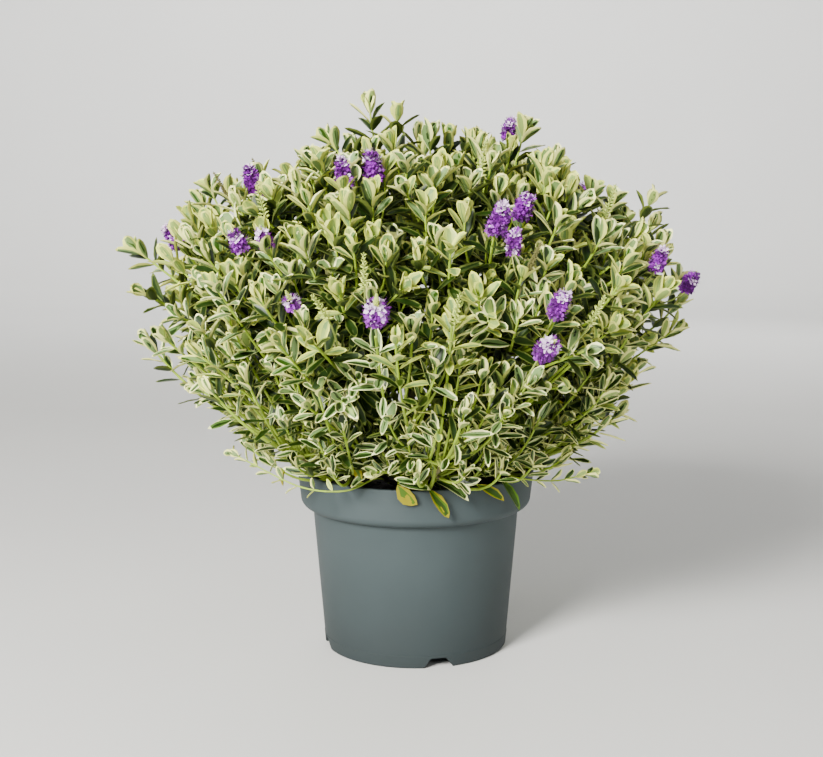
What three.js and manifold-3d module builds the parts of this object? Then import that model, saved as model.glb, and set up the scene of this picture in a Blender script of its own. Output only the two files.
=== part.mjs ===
// A variegated hebe in its nursery pot, in millimetres with +Z up.
// The origin is the middle of the pot's flat underside. +X is the plant's right and -Y its front.
import * as THREE from "three";
import { mergeVertices } from "three/addons/utils/BufferGeometryUtils.js";
import Module from "manifold-3d";

const wasm = await Module();
wasm.setup();

// ---- Driving dimensions ----

const GAP = 0.3; // left open between any two neighbouring pieces

// The pot, a moulded nursery container.
const POT_HEIGHT = 176;
const RIM_RADIUS = 115;
const LIP_WIDTH = 4;
const BAND_HEIGHT = 37; // the stepped-out band under the rim
const BAND_ROUND = 9; // rounding of the band's lower edge
const BAND_RADIUS = 112; // just above that rounding
const WALL_TOP_RADIUS = 100.8;
const FOOT_RADIUS = 89;
const FOOT_ROUND = 2;
const RIM_ROUND = 1;
const WALL = 1.8;
const POT_SIDES = 36;
const POT_CURVE_STEPS = 3; // straight steps in each rounding of the pot's outline

// Drain notches in the foot of the wall.
const NOTCHES = 4;
const FIRST_NOTCH_AZIMUTH = -76;
const NOTCH_FOOT_WIDTH = 30;
const NOTCH_TOP_WIDTH = 17;
const NOTCH_HEIGHT = 10;
const NOTCH_DEPTH = 20; // from the wall inwards
const NOTCH_ROUND = 3;
const NOTCH_SLOPE = 1; // how far its sides lean over the height of their upright ends

// The soil and the short main stem.
const SOIL_EDGE = 150;
const SOIL_TOP = 153;
const SOIL_ROOM = 2; // flat soil left round the stem's flare
const SOIL_CROWN = 3; // how many times as far out the soil starts to fall off
const STEM_HEIGHT = 62;
const STEM_LEAN = new THREE.Vector2(-5, 2);
const STEM_TIP_RADIUS = 5.5;
const STEM_RADIUS = 8;
const STEM_FLARE = 5; // extra radius at the soil
const STEM_FLARE_FADE = 8; // the higher, the sooner the flare fades
const STEM_SIDES = 10;
const STEM_RINGS = 8;

// The crown. Directions are seen from the point where the boughs fan out.
const FAN_POINT = new THREE.Vector3(0, 0, 165);
const DOME_REACH = 350;
const SKIRT_REACH = 175;
const SKIRT_ELEVATION = 8;
const DOME_ELEVATION = 38;
const LOWEST_TIP_ELEVATION = 13;

// Where the outline stands out from that dome, or lies back: degrees, and millimetres of reach.
const SWELLS = [
  { azimuth: 180, elevation: 83, reach: 28, spread: 7 },
  { azimuth: 0, elevation: 73, reach: 26, spread: 8 },
  { azimuth: 0, elevation: 59, reach: -14, spread: 6 },
  { azimuth: 0, elevation: 50, reach: 22, spread: 8 },
  { azimuth: 0, elevation: 30, reach: -22, spread: 8 },
  { azimuth: 180, elevation: 68, reach: -6, spread: 8 },
  { azimuth: 180, elevation: 55, reach: 14, spread: 8 },
  { azimuth: 180, elevation: 39, reach: 16, spread: 7 },
  { azimuth: 180, elevation: 27, reach: 14, spread: 8 },
];

// The rings of boughs, each with one mass of foliage.
const RINGS = [
  {
    name: "low",
    count: 7,
    elevation: 23,
    azimuth: -82,
    boughElevation: 13,
    boughReach: 122,
    boughFoot: 172,
    bow: 3,
  },
  {
    name: "middle",
    count: 6,
    elevation: 47,
    azimuth: -60,
    boughElevation: 44,
    boughReach: 110,
    boughFoot: 188,
    bow: 9,
  },
  {
    name: "upper",
    count: 4,
    elevation: 69,
    azimuth: -50,
    boughElevation: 68,
    boughReach: 112,
    boughFoot: 201,
    bow: 13,
  },
  {
    name: "top",
    count: 1,
    elevation: 89,
    azimuth: 180,
    boughElevation: 89,
    boughReach: 118,
    boughFoot: 214,
    bow: 0,
  },
];
const BOUGH_FOOT_RADIUS = 3.2;
const BOUGH_TIP_RADIUS = 2.4;
const BOUGH_SIDES = 5;
const BOUGH_STEPS = 3;
const BOUGH_BEND = 0.4; // where a bough bows, as a share of the way from its foot to its tip

// Shoots: tips that the outline or the blossom asks for, as azimuth and elevation, and tips dealt between them.
const SEED = 2026;
const DEALT_TIPS = 70;
const GOLDEN_ANGLE = 137.508;
const SPREAD_ROUNDS = 60;
const SPREAD_PUSH = 0.0006;
const SPREAD_STEP = 0.04; // the most that a tip moves in a round, in radians
const TIP_ROOM = 30; // from a tip to the walls of its mass's space
const REACH_JITTER = 0.03;
const OUTLINE_TIPS = [
  [180, 83],
  [0, 73],
  [0, 50],
  [180, 55],
  [180, 39],
  [180, 27],
  [0, 34],
];
const BLOSSOM_TIPS = [
  [-150, 61],
  [-112, 62],
  [-126, 47],
  [-71, 51],
  [-60, 58],
  [-25, 73],
  [-64, 35],
  [-98, 36],
  [-32, 42],
  [-14, 37],
  [60, 40],
  [88, 60],
  [125, 38],
  [150, 58],
  [25, 56],
];
const POT_ROOM = 2; // the masses keep at least this clear of the pot
const SHOOT_SIDES = 3;
const TWIG_FOOT_RADIUS = 2;
const TWIG_TIP_RADIUS = 1.5;
const TWIG_STEPS = 3;
const TWIG_BEND = 0.5; // how far back along a twig's end its bend lies, as a share of the way to its tip
const RISE = 1 / 3; // how much a twig's end turns up from straight outwards
const LEADER_STEPS = 5; // of the shoot that carries a mass's others
const LEADER_BEND = 0.4; // share of the leader that runs straight on from the bough
const HIGHEST_FORK = 0.55; // share of the leader's length
const LOWEST_FORK = 0.08;
const STRAIGHT = 0.1; // a twig this nearly straight outwards has no side that faces out

// Leaves stand in opposite pairs, each pair turned a quarter from the last.
const LEAF_LENGTH = 68;
const LEAF_WIDTH = 36;
const LEAF_THICKNESS = 4.5; // at the middle, from the keel up to the margins
const LEAF_WIDEST = 0.56; // share of the length from the root
const LEAF_ROOT = 0.3; // the root's distance from the middle of its twig
const LEAF_TURN = Math.PI / 4; // of the leaves from the edges of their three-sided twig
const LEAF_PAIRS = [
  { back: 4, opening: 20, size: 0.84 },
  { back: 20, opening: 42, size: 1 },
  { back: 46, opening: 60, size: 0.96 },
  { back: 76, opening: 68, size: 0.88 },
  { back: 106, opening: 72, size: 0.8 },
];
const LOWEST_LEAF = 0.2; // share of the shoot's length
const FOLDED_OPENINGS = [1, 0.7, 0.4]; // a leaf short of room stands closer to its shoot

// A flower spike, with its outline as shares of its radius and length.
const RACEME_LENGTH = 44;
const RACEME_RADIUS = 12;
const RACEME_SIDES = 5;
const RACEME_BACK = 22; // below the shoot's tip
const RACEME_OPENING = 32;
const RACEME_OUTLINE = [
  [0, 0],
  [1, 0.38],
  [0.82, 0.68],
  [0, 1],
];

// Two long shoots that trail over the rim, as the points they pass through.
const TRAILING_SHOOTS = [
  {
    name: "trailing_shoot_left",
    through: [
      [-8, -14, 160],
      [-32, -62, 170],
      [-51, -104, 182],
      [-84, -118, 180],
      [-122, -110, 186],
      [-156, -100, 203],
    ],
    leafPairs: 4,
  },
  {
    name: "trailing_shoot_right",
    through: [
      [11, -10, 160],
      [54, -45, 168],
      [92, -75, 181],
      [114, -86, 181],
      [139, -88, 181],
      [161, -86, 187],
    ],
    leafPairs: 3,
  },
];
const TRAILING_RADIUS = 1.7;
const TRAILING_STEPS = 14;
const TRAILING_LEAF_SIZE = 0.46;
const TRAILING_LEAVES = [0.995, 0.62]; // shares of the shoot's length between which its leaves stand
const TRAILING_OPENING = 35;
const TRAILING_OPENING_STEP = 8; // each pair further back opens wider
const TRAILING_ROOM = 1.5; // the masses keep at least this clear of a trailing shoot

// ---- Small helpers ----

const UP = new THREE.Vector3(0, 0, 1);
const WELDS = [1e-3, 1e-4]; // corners this close may be taken as one, and the surface still has to close
const radians = THREE.MathUtils.degToRad;
const degrees = THREE.MathUtils.radToDeg;
const { lerp, smoothstep } = THREE.MathUtils;

// The same draws in the same order every time: a linear congruential generator.
function makeRandom(seed) {
  let state = seed;
  return () => {
    state = (state * 1664525 + 1013904223) % 4294967296;
    return state / 4294967296;
  };
}

function direction(azimuth, elevation) {
  const level = Math.cos(radians(elevation));
  return new THREE.Vector3(
    Math.cos(radians(azimuth)) * level,
    Math.sin(radians(azimuth)) * level,
    Math.sin(radians(elevation)),
  );
}

function fromFan(towards, reach) {
  return FAN_POINT.clone().addScaledVector(towards, reach);
}

// A closed geometry as a solid that can be joined and cut.
function solid(geometry) {
  const bare = new THREE.BufferGeometry();
  bare.setAttribute("position", geometry.getAttribute("position").clone());
  if (geometry.index) bare.setIndex(geometry.index.clone());
  const merged = mergeVertices(bare, 1e-4);
  const corners = merged.index.array;
  const faces = [];
  for (let i = 0; i < corners.length; i += 3) {
    const [a, b, c] = [corners[i], corners[i + 1], corners[i + 2]];
    if (a !== b && b !== c && a !== c) faces.push(a, b, c);
  }
  return new wasm.Manifold(
    new wasm.Mesh({
      numProp: 3,
      vertProperties: merged.getAttribute("position").array,
      triVerts: new Uint32Array(faces),
    }),
  );
}

// Whether each edge keeps exactly two faces when corners this close together are taken as one.
function staysClosed(made, tolerance) {
  const bare = geometryOf(made);
  bare.deleteAttribute("normal");
  const corners = mergeVertices(bare, tolerance).index.array;
  const faces = new Map();
  for (let i = 0; i < corners.length; i += 3) {
    const [a, b, c] = [corners[i], corners[i + 1], corners[i + 2]];
    if (a === b || b === c || a === c) continue;
    for (const edge of [[a, b], [b, c], [c, a]]) {
      const key = edge.sort((one, other) => one - other).join();
      faces.set(key, (faces.get(key) ?? 0) + 1);
    }
  }
  return [...faces.values()].every((count) => count === 2);
}

// Joins pieces to a solid, and leaves out any that would pinch its surface.
function joinedTo(whole, pieces) {
  const joined = pieces.reduce((sum, piece) => sum.add(piece), whole);
  if (WELDS.every((tolerance) => staysClosed(joined, tolerance))) return joined;
  if (pieces.length === 1) return whole;
  const half = Math.ceil(pieces.length / 2);
  return joinedTo(joinedTo(whole, pieces.slice(0, half)), pieces.slice(half));
}

// The pieces as one solid, with sealed hollows filled and loose scraps dropped.
function fused(pieces) {
  const [first, ...others] = pieces.map(solid);
  const bodies = joinedTo(first, others).decompose();
  return bodies.reduce((largest, body) => (body.volume() > largest.volume() ? body : largest));
}

function geometryOf(made) {
  const { vertProperties, triVerts } = made.getMesh();
  const geometry = new THREE.BufferGeometry();
  geometry.setAttribute("position", new THREE.BufferAttribute(vertProperties, 3));
  geometry.setIndex(new THREE.BufferAttribute(triVerts, 1));
  geometry.computeVertexNormals();
  return geometry;
}

function lathe(points, sides) {
  return new THREE.LatheGeometry(points, sides).rotateX(Math.PI / 2);
}

// A round limb along a curve: a cylinder whose rings are carried along it, with the radius asked for at each.
function limb(curve, radiusAt, sides, steps, turn = 0) {
  const tube = new THREE.CylinderGeometry(1, 1, 1, sides, steps).rotateY(turn);
  const { binormals, normals } = curve.computeFrenetFrames(steps, false);
  const position = tube.getAttribute("position");
  const corner = new THREE.Vector3();
  for (let i = 0; i < position.count; i += 1) {
    const along = position.getY(i) + 0.5;
    const step = Math.round(along * steps);
    const radius = radiusAt(along);
    corner.copy(curve.getPointAt(along));
    corner.addScaledVector(binormals[step], position.getX(i) * radius);
    corner.addScaledVector(normals[step], position.getZ(i) * radius);
    position.setXYZ(i, corner.x, corner.y, corner.z);
  }
  return tube;
}

// A place in the middle of that limb, at a share of its length: the point on the straight-sided stretch there,
// the stretch's direction, and a way out through its side that keeps clear of its edges.
function seatOn({ curve, steps, turn }, along) {
  const step = Math.min(Math.floor(along * steps), steps - 1);
  const start = curve.getPointAt(step / steps);
  const end = curve.getPointAt((step + 1) / steps);
  const { binormals, normals } = curve.computeFrenetFrames(steps, false);
  const axis = end.clone().sub(start).normalize();
  const outward = normals[step].clone().multiplyScalar(Math.cos(turn + LEAF_TURN));
  outward.addScaledVector(binormals[step], Math.sin(turn + LEAF_TURN));
  const point = start.lerp(end, along * steps - step);
  return { point, axis, outward: outward.projectOnPlane(axis).normalize() };
}

function taper(footRadius, tipRadius) {
  return (along) => lerp(footRadius, tipRadius, along);
}

// ---- The pot and its soil ----

const WALL_TOP = POT_HEIGHT - BAND_HEIGHT;

function potOutline() {
  const outline = new THREE.Path();
  outline.moveTo(0, 0);
  outline.lineTo(FOOT_RADIUS - FOOT_ROUND, 0);
  outline.quadraticCurveTo(FOOT_RADIUS, 0, FOOT_RADIUS, FOOT_ROUND);
  outline.lineTo(WALL_TOP_RADIUS, WALL_TOP);
  outline.quadraticCurveTo(BAND_RADIUS - RIM_ROUND, WALL_TOP, BAND_RADIUS, WALL_TOP + BAND_ROUND);
  outline.lineTo(RIM_RADIUS, POT_HEIGHT - RIM_ROUND);
  outline.lineTo(RIM_RADIUS - RIM_ROUND, POT_HEIGHT);
  outline.lineTo(0, POT_HEIGHT);
  return outline.getPoints(POT_CURVE_STEPS);
}

// The inside of the pot, drawn in from its inner face by a margin.
function cavityOutline(margin, top) {
  const inner = [
    [FOOT_RADIUS - WALL, WALL],
    [WALL_TOP_RADIUS - WALL, WALL_TOP],
    [BAND_RADIUS - LIP_WIDTH, WALL_TOP + BAND_ROUND],
    [RIM_RADIUS - LIP_WIDTH, POT_HEIGHT],
  ];
  const radiusAt = (z) => {
    const above = inner.findIndex(([, height]) => height >= z);
    const [[r0, z0], [r1, z1]] = [inner[Math.max(above, 1) - 1], inner[Math.max(above, 1)]];
    return lerp(r0, r1, (z - z0) / (z1 - z0)) - margin;
  };
  const outline = [[0, WALL + margin]];
  outline.push([radiusAt(WALL), WALL + margin]);
  for (const [, z] of inner.slice(1)) {
    if (z < top) outline.push([radiusAt(z), z]);
  }
  outline.push([radiusAt(Math.min(top, POT_HEIGHT)), top]);
  return outline.map(([r, z]) => new THREE.Vector2(r, z));
}

function potCavity() {
  const outline = cavityOutline(0, POT_HEIGHT);
  const rim = outline.at(-1);
  outline.push(new THREE.Vector2(rim.x, rim.y + WALL), new THREE.Vector2(0, rim.y + WALL));
  return solid(lathe(outline, POT_SIDES));
}

// A rounded trapezium that stands on the floor and runs in from outside the wall, grown by a margin.
function notchChannel(azimuth, margin, outerRadius) {
  const foot = NOTCH_FOOT_WIDTH / 2 + margin;
  const top = NOTCH_TOP_WIDTH / 2 + margin;
  const height = NOTCH_HEIGHT + margin;
  const section = new THREE.Shape();
  section.moveTo(-foot, -WALL);
  section.lineTo(foot, -WALL);
  section.lineTo(foot - NOTCH_SLOPE, NOTCH_SLOPE);
  section.lineTo(top + NOTCH_SLOPE, height - NOTCH_ROUND);
  section.quadraticCurveTo(top, height, top - NOTCH_ROUND, height);
  section.lineTo(NOTCH_ROUND - top, height);
  section.quadraticCurveTo(-top, height, -top - NOTCH_SLOPE, height - NOTCH_ROUND);
  section.lineTo(NOTCH_SLOPE - foot, NOTCH_SLOPE);
  const inner = FOOT_RADIUS - NOTCH_DEPTH - margin;
  const channel = new THREE.ExtrudeGeometry(section, {
    depth: outerRadius - inner,
    bevelEnabled: false,
    curveSegments: POT_CURVE_STEPS,
  });
  channel.translate(0, 0, inner);
  channel.applyMatrix4(
    new THREE.Matrix4().makeBasis(new THREE.Vector3(0, 1, 0), UP, new THREE.Vector3(1, 0, 0)),
  );
  return solid(channel.rotateZ(radians(azimuth)));
}

function notchAzimuths() {
  return Array.from({ length: NOTCHES }, (_, i) => FIRST_NOTCH_AZIMUTH + (i * 360) / NOTCHES);
}

function pot() {
  let cavity = potCavity();
  for (const azimuth of notchAzimuths()) {
    cavity = cavity.subtract(notchChannel(azimuth, WALL, FOOT_RADIUS + WALL));
  }
  let body = solid(lathe(potOutline(), POT_SIDES)).subtract(cavity);
  for (const azimuth of notchAzimuths()) {
    body = body.subtract(notchChannel(azimuth, 0, RIM_RADIUS));
  }
  return body;
}

function soil() {
  const outline = cavityOutline(GAP, SOIL_EDGE);
  const flat = STEM_RADIUS + STEM_FLARE + SOIL_ROOM;
  outline.push(new THREE.Vector2(flat * SOIL_CROWN, lerp(SOIL_TOP, SOIL_EDGE, 1 / 3)));
  outline.push(new THREE.Vector2(flat, SOIL_TOP), new THREE.Vector2(0, SOIL_TOP));
  let body = solid(lathe(outline, POT_SIDES));
  for (const azimuth of notchAzimuths()) {
    body = body.subtract(notchChannel(azimuth, WALL + GAP, FOOT_RADIUS + WALL));
  }
  return body;
}

// ---- The main stem and its boughs ----

const STEM_FOOT = new THREE.Vector3(0, 0, SOIL_TOP + GAP);
const STEM_TIP = new THREE.Vector3(STEM_LEAN.x, STEM_LEAN.y, SOIL_TOP + STEM_HEIGHT);

const stemCurve = new THREE.QuadraticBezierCurve3(
  STEM_FOOT,
  new THREE.Vector3(0, 0, SOIL_TOP + STEM_HEIGHT / 2),
  STEM_TIP,
);

// The main stem, grown all round by a margin.
function mainStem(margin) {
  const radiusAt = (along) => {
    const flare = STEM_FLARE * Math.exp(-STEM_FLARE_FADE * along);
    return lerp(STEM_RADIUS, STEM_TIP_RADIUS, along) + flare + margin;
  };
  return limb(stemCurve, radiusAt, STEM_SIDES, STEM_RINGS);
}

// Each mass: its axis, the flat walls it shares with its neighbours, and the bough that carries it.
function plannedMasses() {
  const masses = [];
  for (const ring of RINGS) {
    for (let i = 0; i < ring.count; i += 1) {
      const azimuth = ring.azimuth + (i * 360) / ring.count;
      const suffix = ring.count > 1 ? `_${i + 1}` : "";
      masses.push({
        name: `${ring.name}_foliage${suffix}`,
        boughName: `${ring.name}_bough${suffix}`,
        axis: direction(azimuth, ring.elevation),
        bough: boughCurve(ring, azimuth),
        tips: [],
      });
    }
  }
  for (const mass of masses) {
    mass.walls = masses
      .filter((other) => other !== mass)
      .map((other) => mass.axis.clone().sub(other.axis).normalize());
  }
  return masses;
}

function boughCurve(ring, azimuth) {
  const along = (ring.boughFoot - STEM_FOOT.z) / (STEM_TIP.z - STEM_FOOT.z);
  const foot = stemCurve.getPoint(Math.min(along, 1));
  if (ring.count === 1) foot.addScaledVector(stemCurve.getTangent(1), GAP);
  const tip = fromFan(direction(azimuth, ring.boughElevation), ring.boughReach);
  const bend = foot.clone().lerp(tip, BOUGH_BEND);
  bend.addScaledVector(direction(azimuth, 0), ring.bow);
  return new THREE.QuadraticBezierCurve3(foot, bend, tip);
}

function boughLimb(mass, margin) {
  const radiusAt = taper(BOUGH_FOOT_RADIUS + margin, BOUGH_TIP_RADIUS + margin);
  return solid(limb(mass.bough, radiusAt, BOUGH_SIDES, BOUGH_STEPS));
}

function bough(mass) {
  return boughLimb(mass, 0).subtract(solid(mainStem(GAP)));
}

// ---- The crown's outline and the shoots' tips ----

// How far the end leaves stand out beyond the tip of their shoot.
const LEAF_REACH = LEAF_LENGTH * LEAF_PAIRS[0].size * Math.cos(radians(LEAF_PAIRS[0].opening));

function crownReach(towards) {
  const elevation = degrees(Math.asin(THREE.MathUtils.clamp(towards.z, -1, 1)));
  const rise = smoothstep(elevation, SKIRT_ELEVATION, DOME_ELEVATION);
  let reach = lerp(SKIRT_REACH, DOME_REACH, rise);
  for (const swell of SWELLS) {
    const away = degrees(towards.angleTo(direction(swell.azimuth, swell.elevation)));
    reach += swell.reach * Math.exp(-((away / swell.spread) ** 2));
  }
  return reach;
}

function namedTips() {
  return [...OUTLINE_TIPS, ...BLOSSOM_TIPS].map(([azimuth, elevation], i) => ({
    towards: direction(azimuth, elevation),
    free: false,
    blossoms: i >= OUTLINE_TIPS.length,
  }));
}

function dealtTips() {
  const lowest = Math.sin(radians(LOWEST_TIP_ELEVATION));
  return Array.from({ length: DEALT_TIPS }, (_, i) => {
    const height = lerp(lowest, 1, (i + 0.5) / DEALT_TIPS);
    const towards = direction(i * GOLDEN_ANGLE, degrees(Math.asin(height)));
    return { towards, free: true, blossoms: false };
  });
}

function massOf(tip, masses) {
  const closeness = masses.map((mass) => mass.axis.dot(tip.towards));
  return masses[closeness.indexOf(Math.max(...closeness))];
}

// Moves a free tip off its neighbours.
function pushOff(tip, tips) {
  const push = new THREE.Vector3();
  for (const other of tips) {
    if (other === tip) continue;
    const away = tip.towards.clone().sub(other.towards);
    push.addScaledVector(away, SPREAD_PUSH / away.length() ** 4);
  }
  tip.towards.add(push.clampLength(0, SPREAD_STEP)).normalize();
}

// Moves a tip in from the walls of its mass's space, so that its leaves have room, and up from the skirt.
function moveInside(tip, masses) {
  for (const wall of massOf(tip, masses).walls) {
    const short = TIP_ROOM / DOME_REACH - wall.dot(tip.towards);
    if (short > 0) tip.towards.addScaledVector(wall, short);
  }
  tip.towards.z = Math.max(tip.towards.z, Math.sin(radians(LOWEST_TIP_ELEVATION)));
  tip.towards.normalize();
}

// Tips start along a golden-angle spiral and push off each other until they lie evenly between the named ones.
function dealTips(masses) {
  const random = makeRandom(SEED);
  const tips = [...namedTips(), ...dealtTips()];
  for (let round = 0; round < SPREAD_ROUNDS; round += 1) {
    for (const tip of tips) {
      if (tip.free) pushOff(tip, tips);
      moveInside(tip, masses);
    }
  }
  for (const tip of tips) {
    const jitter = tip.free ? random() * REACH_JITTER : 0;
    tip.reach = crownReach(tip.towards) * (1 - jitter) - LEAF_REACH;
    tip.turn = random() * Math.PI;
    massOf(tip, masses).tips.push(tip);
  }
}

// ---- Leaves and blossom ----

// A leaf of four faces from its root at the origin along +X, with its face up and a keel under its midrib.
function leafBlade(length, width, thickness) {
  const blade = new THREE.TetrahedronGeometry(1, 0);
  const position = blade.getAttribute("position");
  for (let i = 0; i < position.count; i += 1) {
    const atMargin = position.getZ(i) > 0;
    const side = Math.sign(position.getX(i));
    if (atMargin) position.setXYZ(i, length * LEAF_WIDEST, (side * width) / 2, thickness);
    else position.setXYZ(i, side > 0 ? length : 0, 0, 0);
  }
  return blade;
}

// Places a piece made along +X at a point, along one direction and facing another.
function placed(geometry, point, along, facing) {
  const side = facing.clone().cross(along).normalize();
  const face = along.clone().cross(side);
  const matrix = new THREE.Matrix4().makeBasis(along, side, face).setPosition(point);
  return geometry.applyMatrix4(matrix);
}

// A leaf rooted at a point of a shoot, opened by an angle from the shoot's own direction.
function leafAt(point, axis, outward, opening, size, margin = 0) {
  const angle = radians(opening);
  const along = axis.clone().multiplyScalar(Math.cos(angle));
  along.addScaledVector(outward, Math.sin(angle));
  const facing = axis.clone().multiplyScalar(Math.sin(angle));
  facing.addScaledVector(outward, -Math.cos(angle));
  const root = point.clone().addScaledVector(outward, LEAF_ROOT);
  const [length, width, thickness] = [LEAF_LENGTH * size, LEAF_WIDTH * size, LEAF_THICKNESS].map(
    (measure) => measure + 2 * margin,
  );
  return placed(leafBlade(length, width, thickness), root, along, facing);
}

// A flower spike: a spindle from its foot at the origin along +X.
function raceme() {
  const points = RACEME_OUTLINE.map(
    ([r, x]) => new THREE.Vector2(r * RACEME_RADIUS, x * RACEME_LENGTH),
  );
  return new THREE.LatheGeometry(points, RACEME_SIDES).rotateZ(-Math.PI / 2);
}

// ---- The trailing shoots ----

// A trailing shoot, grown all round by a margin.
function trailingShoot({ through, leafPairs }, margin) {
  const curve = new THREE.CatmullRomCurve3(through.map((point) => new THREE.Vector3(...point)));
  const stem = taper(TRAILING_RADIUS + margin, TWIG_TIP_RADIUS + margin);
  const pieces = [limb(curve, stem, SHOOT_SIDES, TRAILING_STEPS)];
  const shoot = { curve, steps: TRAILING_STEPS, turn: 0 };
  for (let pair = 0; pair < leafPairs; pair += 1) {
    const opening = TRAILING_OPENING + pair * TRAILING_OPENING_STEP;
    const { point, axis } = seatOn(shoot, lerp(...TRAILING_LEAVES, pair / leafPairs));
    const level = new THREE.Vector3().crossVectors(axis, UP).normalize();
    level.applyAxisAngle(axis, (pair * Math.PI) / 2);
    for (const side of [level, level.clone().negate()]) {
      pieces.push(leafAt(point, axis, side, opening, TRAILING_LEAF_SIZE, margin));
    }
  }
  return fused(pieces).subtract(solid(mainStem(GAP)));
}

const trailingRoom = TRAILING_SHOOTS.map((shoot) => trailingShoot(shoot, TRAILING_ROOM));

// ---- A mass of foliage ----

function cornersOf(geometry) {
  const position = geometry.getAttribute("position");
  return Array.from({ length: position.count }, (_, i) =>
    new THREE.Vector3().fromBufferAttribute(position, i),
  );
}

// Whether a point lies in the mass's own space, clear of its neighbours, the pot and the soil.
function hasRoom(point, mass) {
  const spoke = point.clone().sub(FAN_POINT);
  if (mass.walls.some((wall) => wall.dot(spoke) < GAP)) return false;
  const overPot = Math.hypot(point.x, point.y) < RIM_RADIUS + POT_ROOM;
  return point.z > (overPot ? POT_HEIGHT : SOIL_TOP) + POT_ROOM;
}

function fits(geometry, mass, taken) {
  if (!cornersOf(geometry).every((corner) => hasRoom(corner, mass))) return false;
  const made = solid(geometry);
  return taken.every((other) => other.intersect(made).isEmpty());
}

// The curve of a shoot that leaves its stem and ends pointing outwards and a little upwards.
function shootCurve(start, tip, mass) {
  const end = fromFan(tip.towards, tip.reach);
  const outwards = tip.towards.clone().addScaledVector(UP, RISE).normalize();
  const bend = end.clone().addScaledVector(outwards, -TWIG_BEND * start.distanceTo(end));
  if (!hasRoom(bend, mass)) bend.copy(start).lerp(end, 0.5);
  return new THREE.QuadraticBezierCurve3(start, bend, end);
}

// The leader takes over from the bough.
function leadingShoot(mass, tip) {
  const onward = mass.bough.getTangent(1);
  const foot = mass.bough.getPoint(1).addScaledVector(onward, GAP);
  const end = fromFan(tip.towards, tip.reach);
  const bend = foot.clone().addScaledVector(onward, LEADER_BEND * foot.distanceTo(end));
  const curve = new THREE.QuadraticBezierCurve3(foot, bend, end);
  const radiusAt = taper(BOUGH_TIP_RADIUS, TWIG_TIP_RADIUS);
  const made = limb(curve, radiusAt, SHOOT_SIDES, LEADER_STEPS, tip.turn);
  return { tip, curve, steps: LEADER_STEPS, turn: tip.turn, limb: made };
}

function sideShoot(mass, leader, along, tip) {
  const curve = shootCurve(seatOn(leader, along).point, tip, mass);
  const radiusAt = taper(TWIG_FOOT_RADIUS, TWIG_TIP_RADIUS);
  const made = limb(curve, radiusAt, SHOOT_SIDES, TWIG_STEPS, tip.turn);
  return { tip, curve, steps: TWIG_STEPS, turn: tip.turn, limb: made };
}

// The leader ends at the tip nearest the mass's axis, and the nearer another tip is, the higher its shoot forks.
function shootsOf(mass, taken) {
  const nearness = (tip) => tip.towards.dot(mass.axis);
  const [nearest, ...others] = mass.tips.sort((a, b) => nearness(b) - nearness(a));
  const leader = leadingShoot(mass, nearest);
  const shoots = others.map((tip, rank) => {
    const share = (rank + 0.5) / others.length;
    return sideShoot(mass, leader, lerp(HIGHEST_FORK, LOWEST_FORK, share), tip);
  });
  return [leader, ...shoots.filter((shoot) => fits(shoot.limb, mass, taken))];
}

// The flower spike of a shoot, on the side that faces out of the crown.
function blossomOn(shoot) {
  const { point, axis } = seatOn(shoot, 1 - RACEME_BACK / shoot.curve.getLength());
  const front = shoot.tip.towards.clone().projectOnPlane(axis);
  if (front.length() < STRAIGHT) front.crossVectors(axis, UP);
  const hinge = new THREE.Vector3().crossVectors(axis, front).normalize();
  const spikeWay = axis.clone().applyAxisAngle(hinge, radians(RACEME_OPENING));
  return placed(raceme(), point, spikeWay, UP);
}

// Both places of a pair of leaves on a shoot, each as the openings to try there, the widest first.
function leafChoices(shoot, pair) {
  const { back, opening, size } = LEAF_PAIRS[pair];
  const along = 1 - back / shoot.curve.getLength();
  if (along < LOWEST_LEAF) return [];
  const { point, axis, outward } = seatOn(shoot, along);
  outward.applyAxisAngle(axis, (pair * Math.PI) / 2);
  return [outward, outward.clone().negate()].map((side) =>
    FOLDED_OPENINGS.map((share) => leafAt(point, axis, side, opening * share, size)),
  );
}

// Shoots first, then blossom, then leaves from the tips inwards, each only where it finds room.
function massOfFoliage(mass) {
  const taken = [boughLimb(mass, GAP), ...trailingRoom];
  const shoots = shootsOf(mass, taken);
  for (const shoot of shoots) {
    shoot.others = shoots.filter((other) => other !== shoot).map((other) => solid(other.limb));
  }
  const grown = [];
  const grow = (shoot, choices) => {
    const chosen = choices.find((made) => fits(made, mass, [...taken, ...shoot.others]));
    if (!chosen) return;
    grown.push(chosen);
    taken.push(solid(chosen));
  };
  for (const shoot of shoots) {
    if (shoot.tip.blossoms) grow(shoot, [blossomOn(shoot)]);
  }
  for (const pair of LEAF_PAIRS.keys()) {
    for (const shoot of shoots) {
      for (const choices of leafChoices(shoot, pair)) grow(shoot, choices);
    }
  }
  return fused([...shoots.map((shoot) => shoot.limb), ...grown]);
}

// ---- The assembly ----

const FINISHES = {
  pot: { color: 0x5f6e6e, roughness: 0.5 },
  soil: { color: 0x1d1712, roughness: 0.95 },
  stem: { color: 0x6d5a3e, roughness: 0.8 },
  bough: { color: 0x7f8c3a, roughness: 0.7 },
  foliage: { color: 0x9aa763, roughness: 0.6 },
};

function piece(name, made, finish) {
  const material = new THREE.MeshStandardMaterial({ ...FINISHES[finish], metalness: 0 });
  const mesh = new THREE.Mesh(geometryOf(made), material);
  mesh.name = name;
  return mesh;
}

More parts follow.
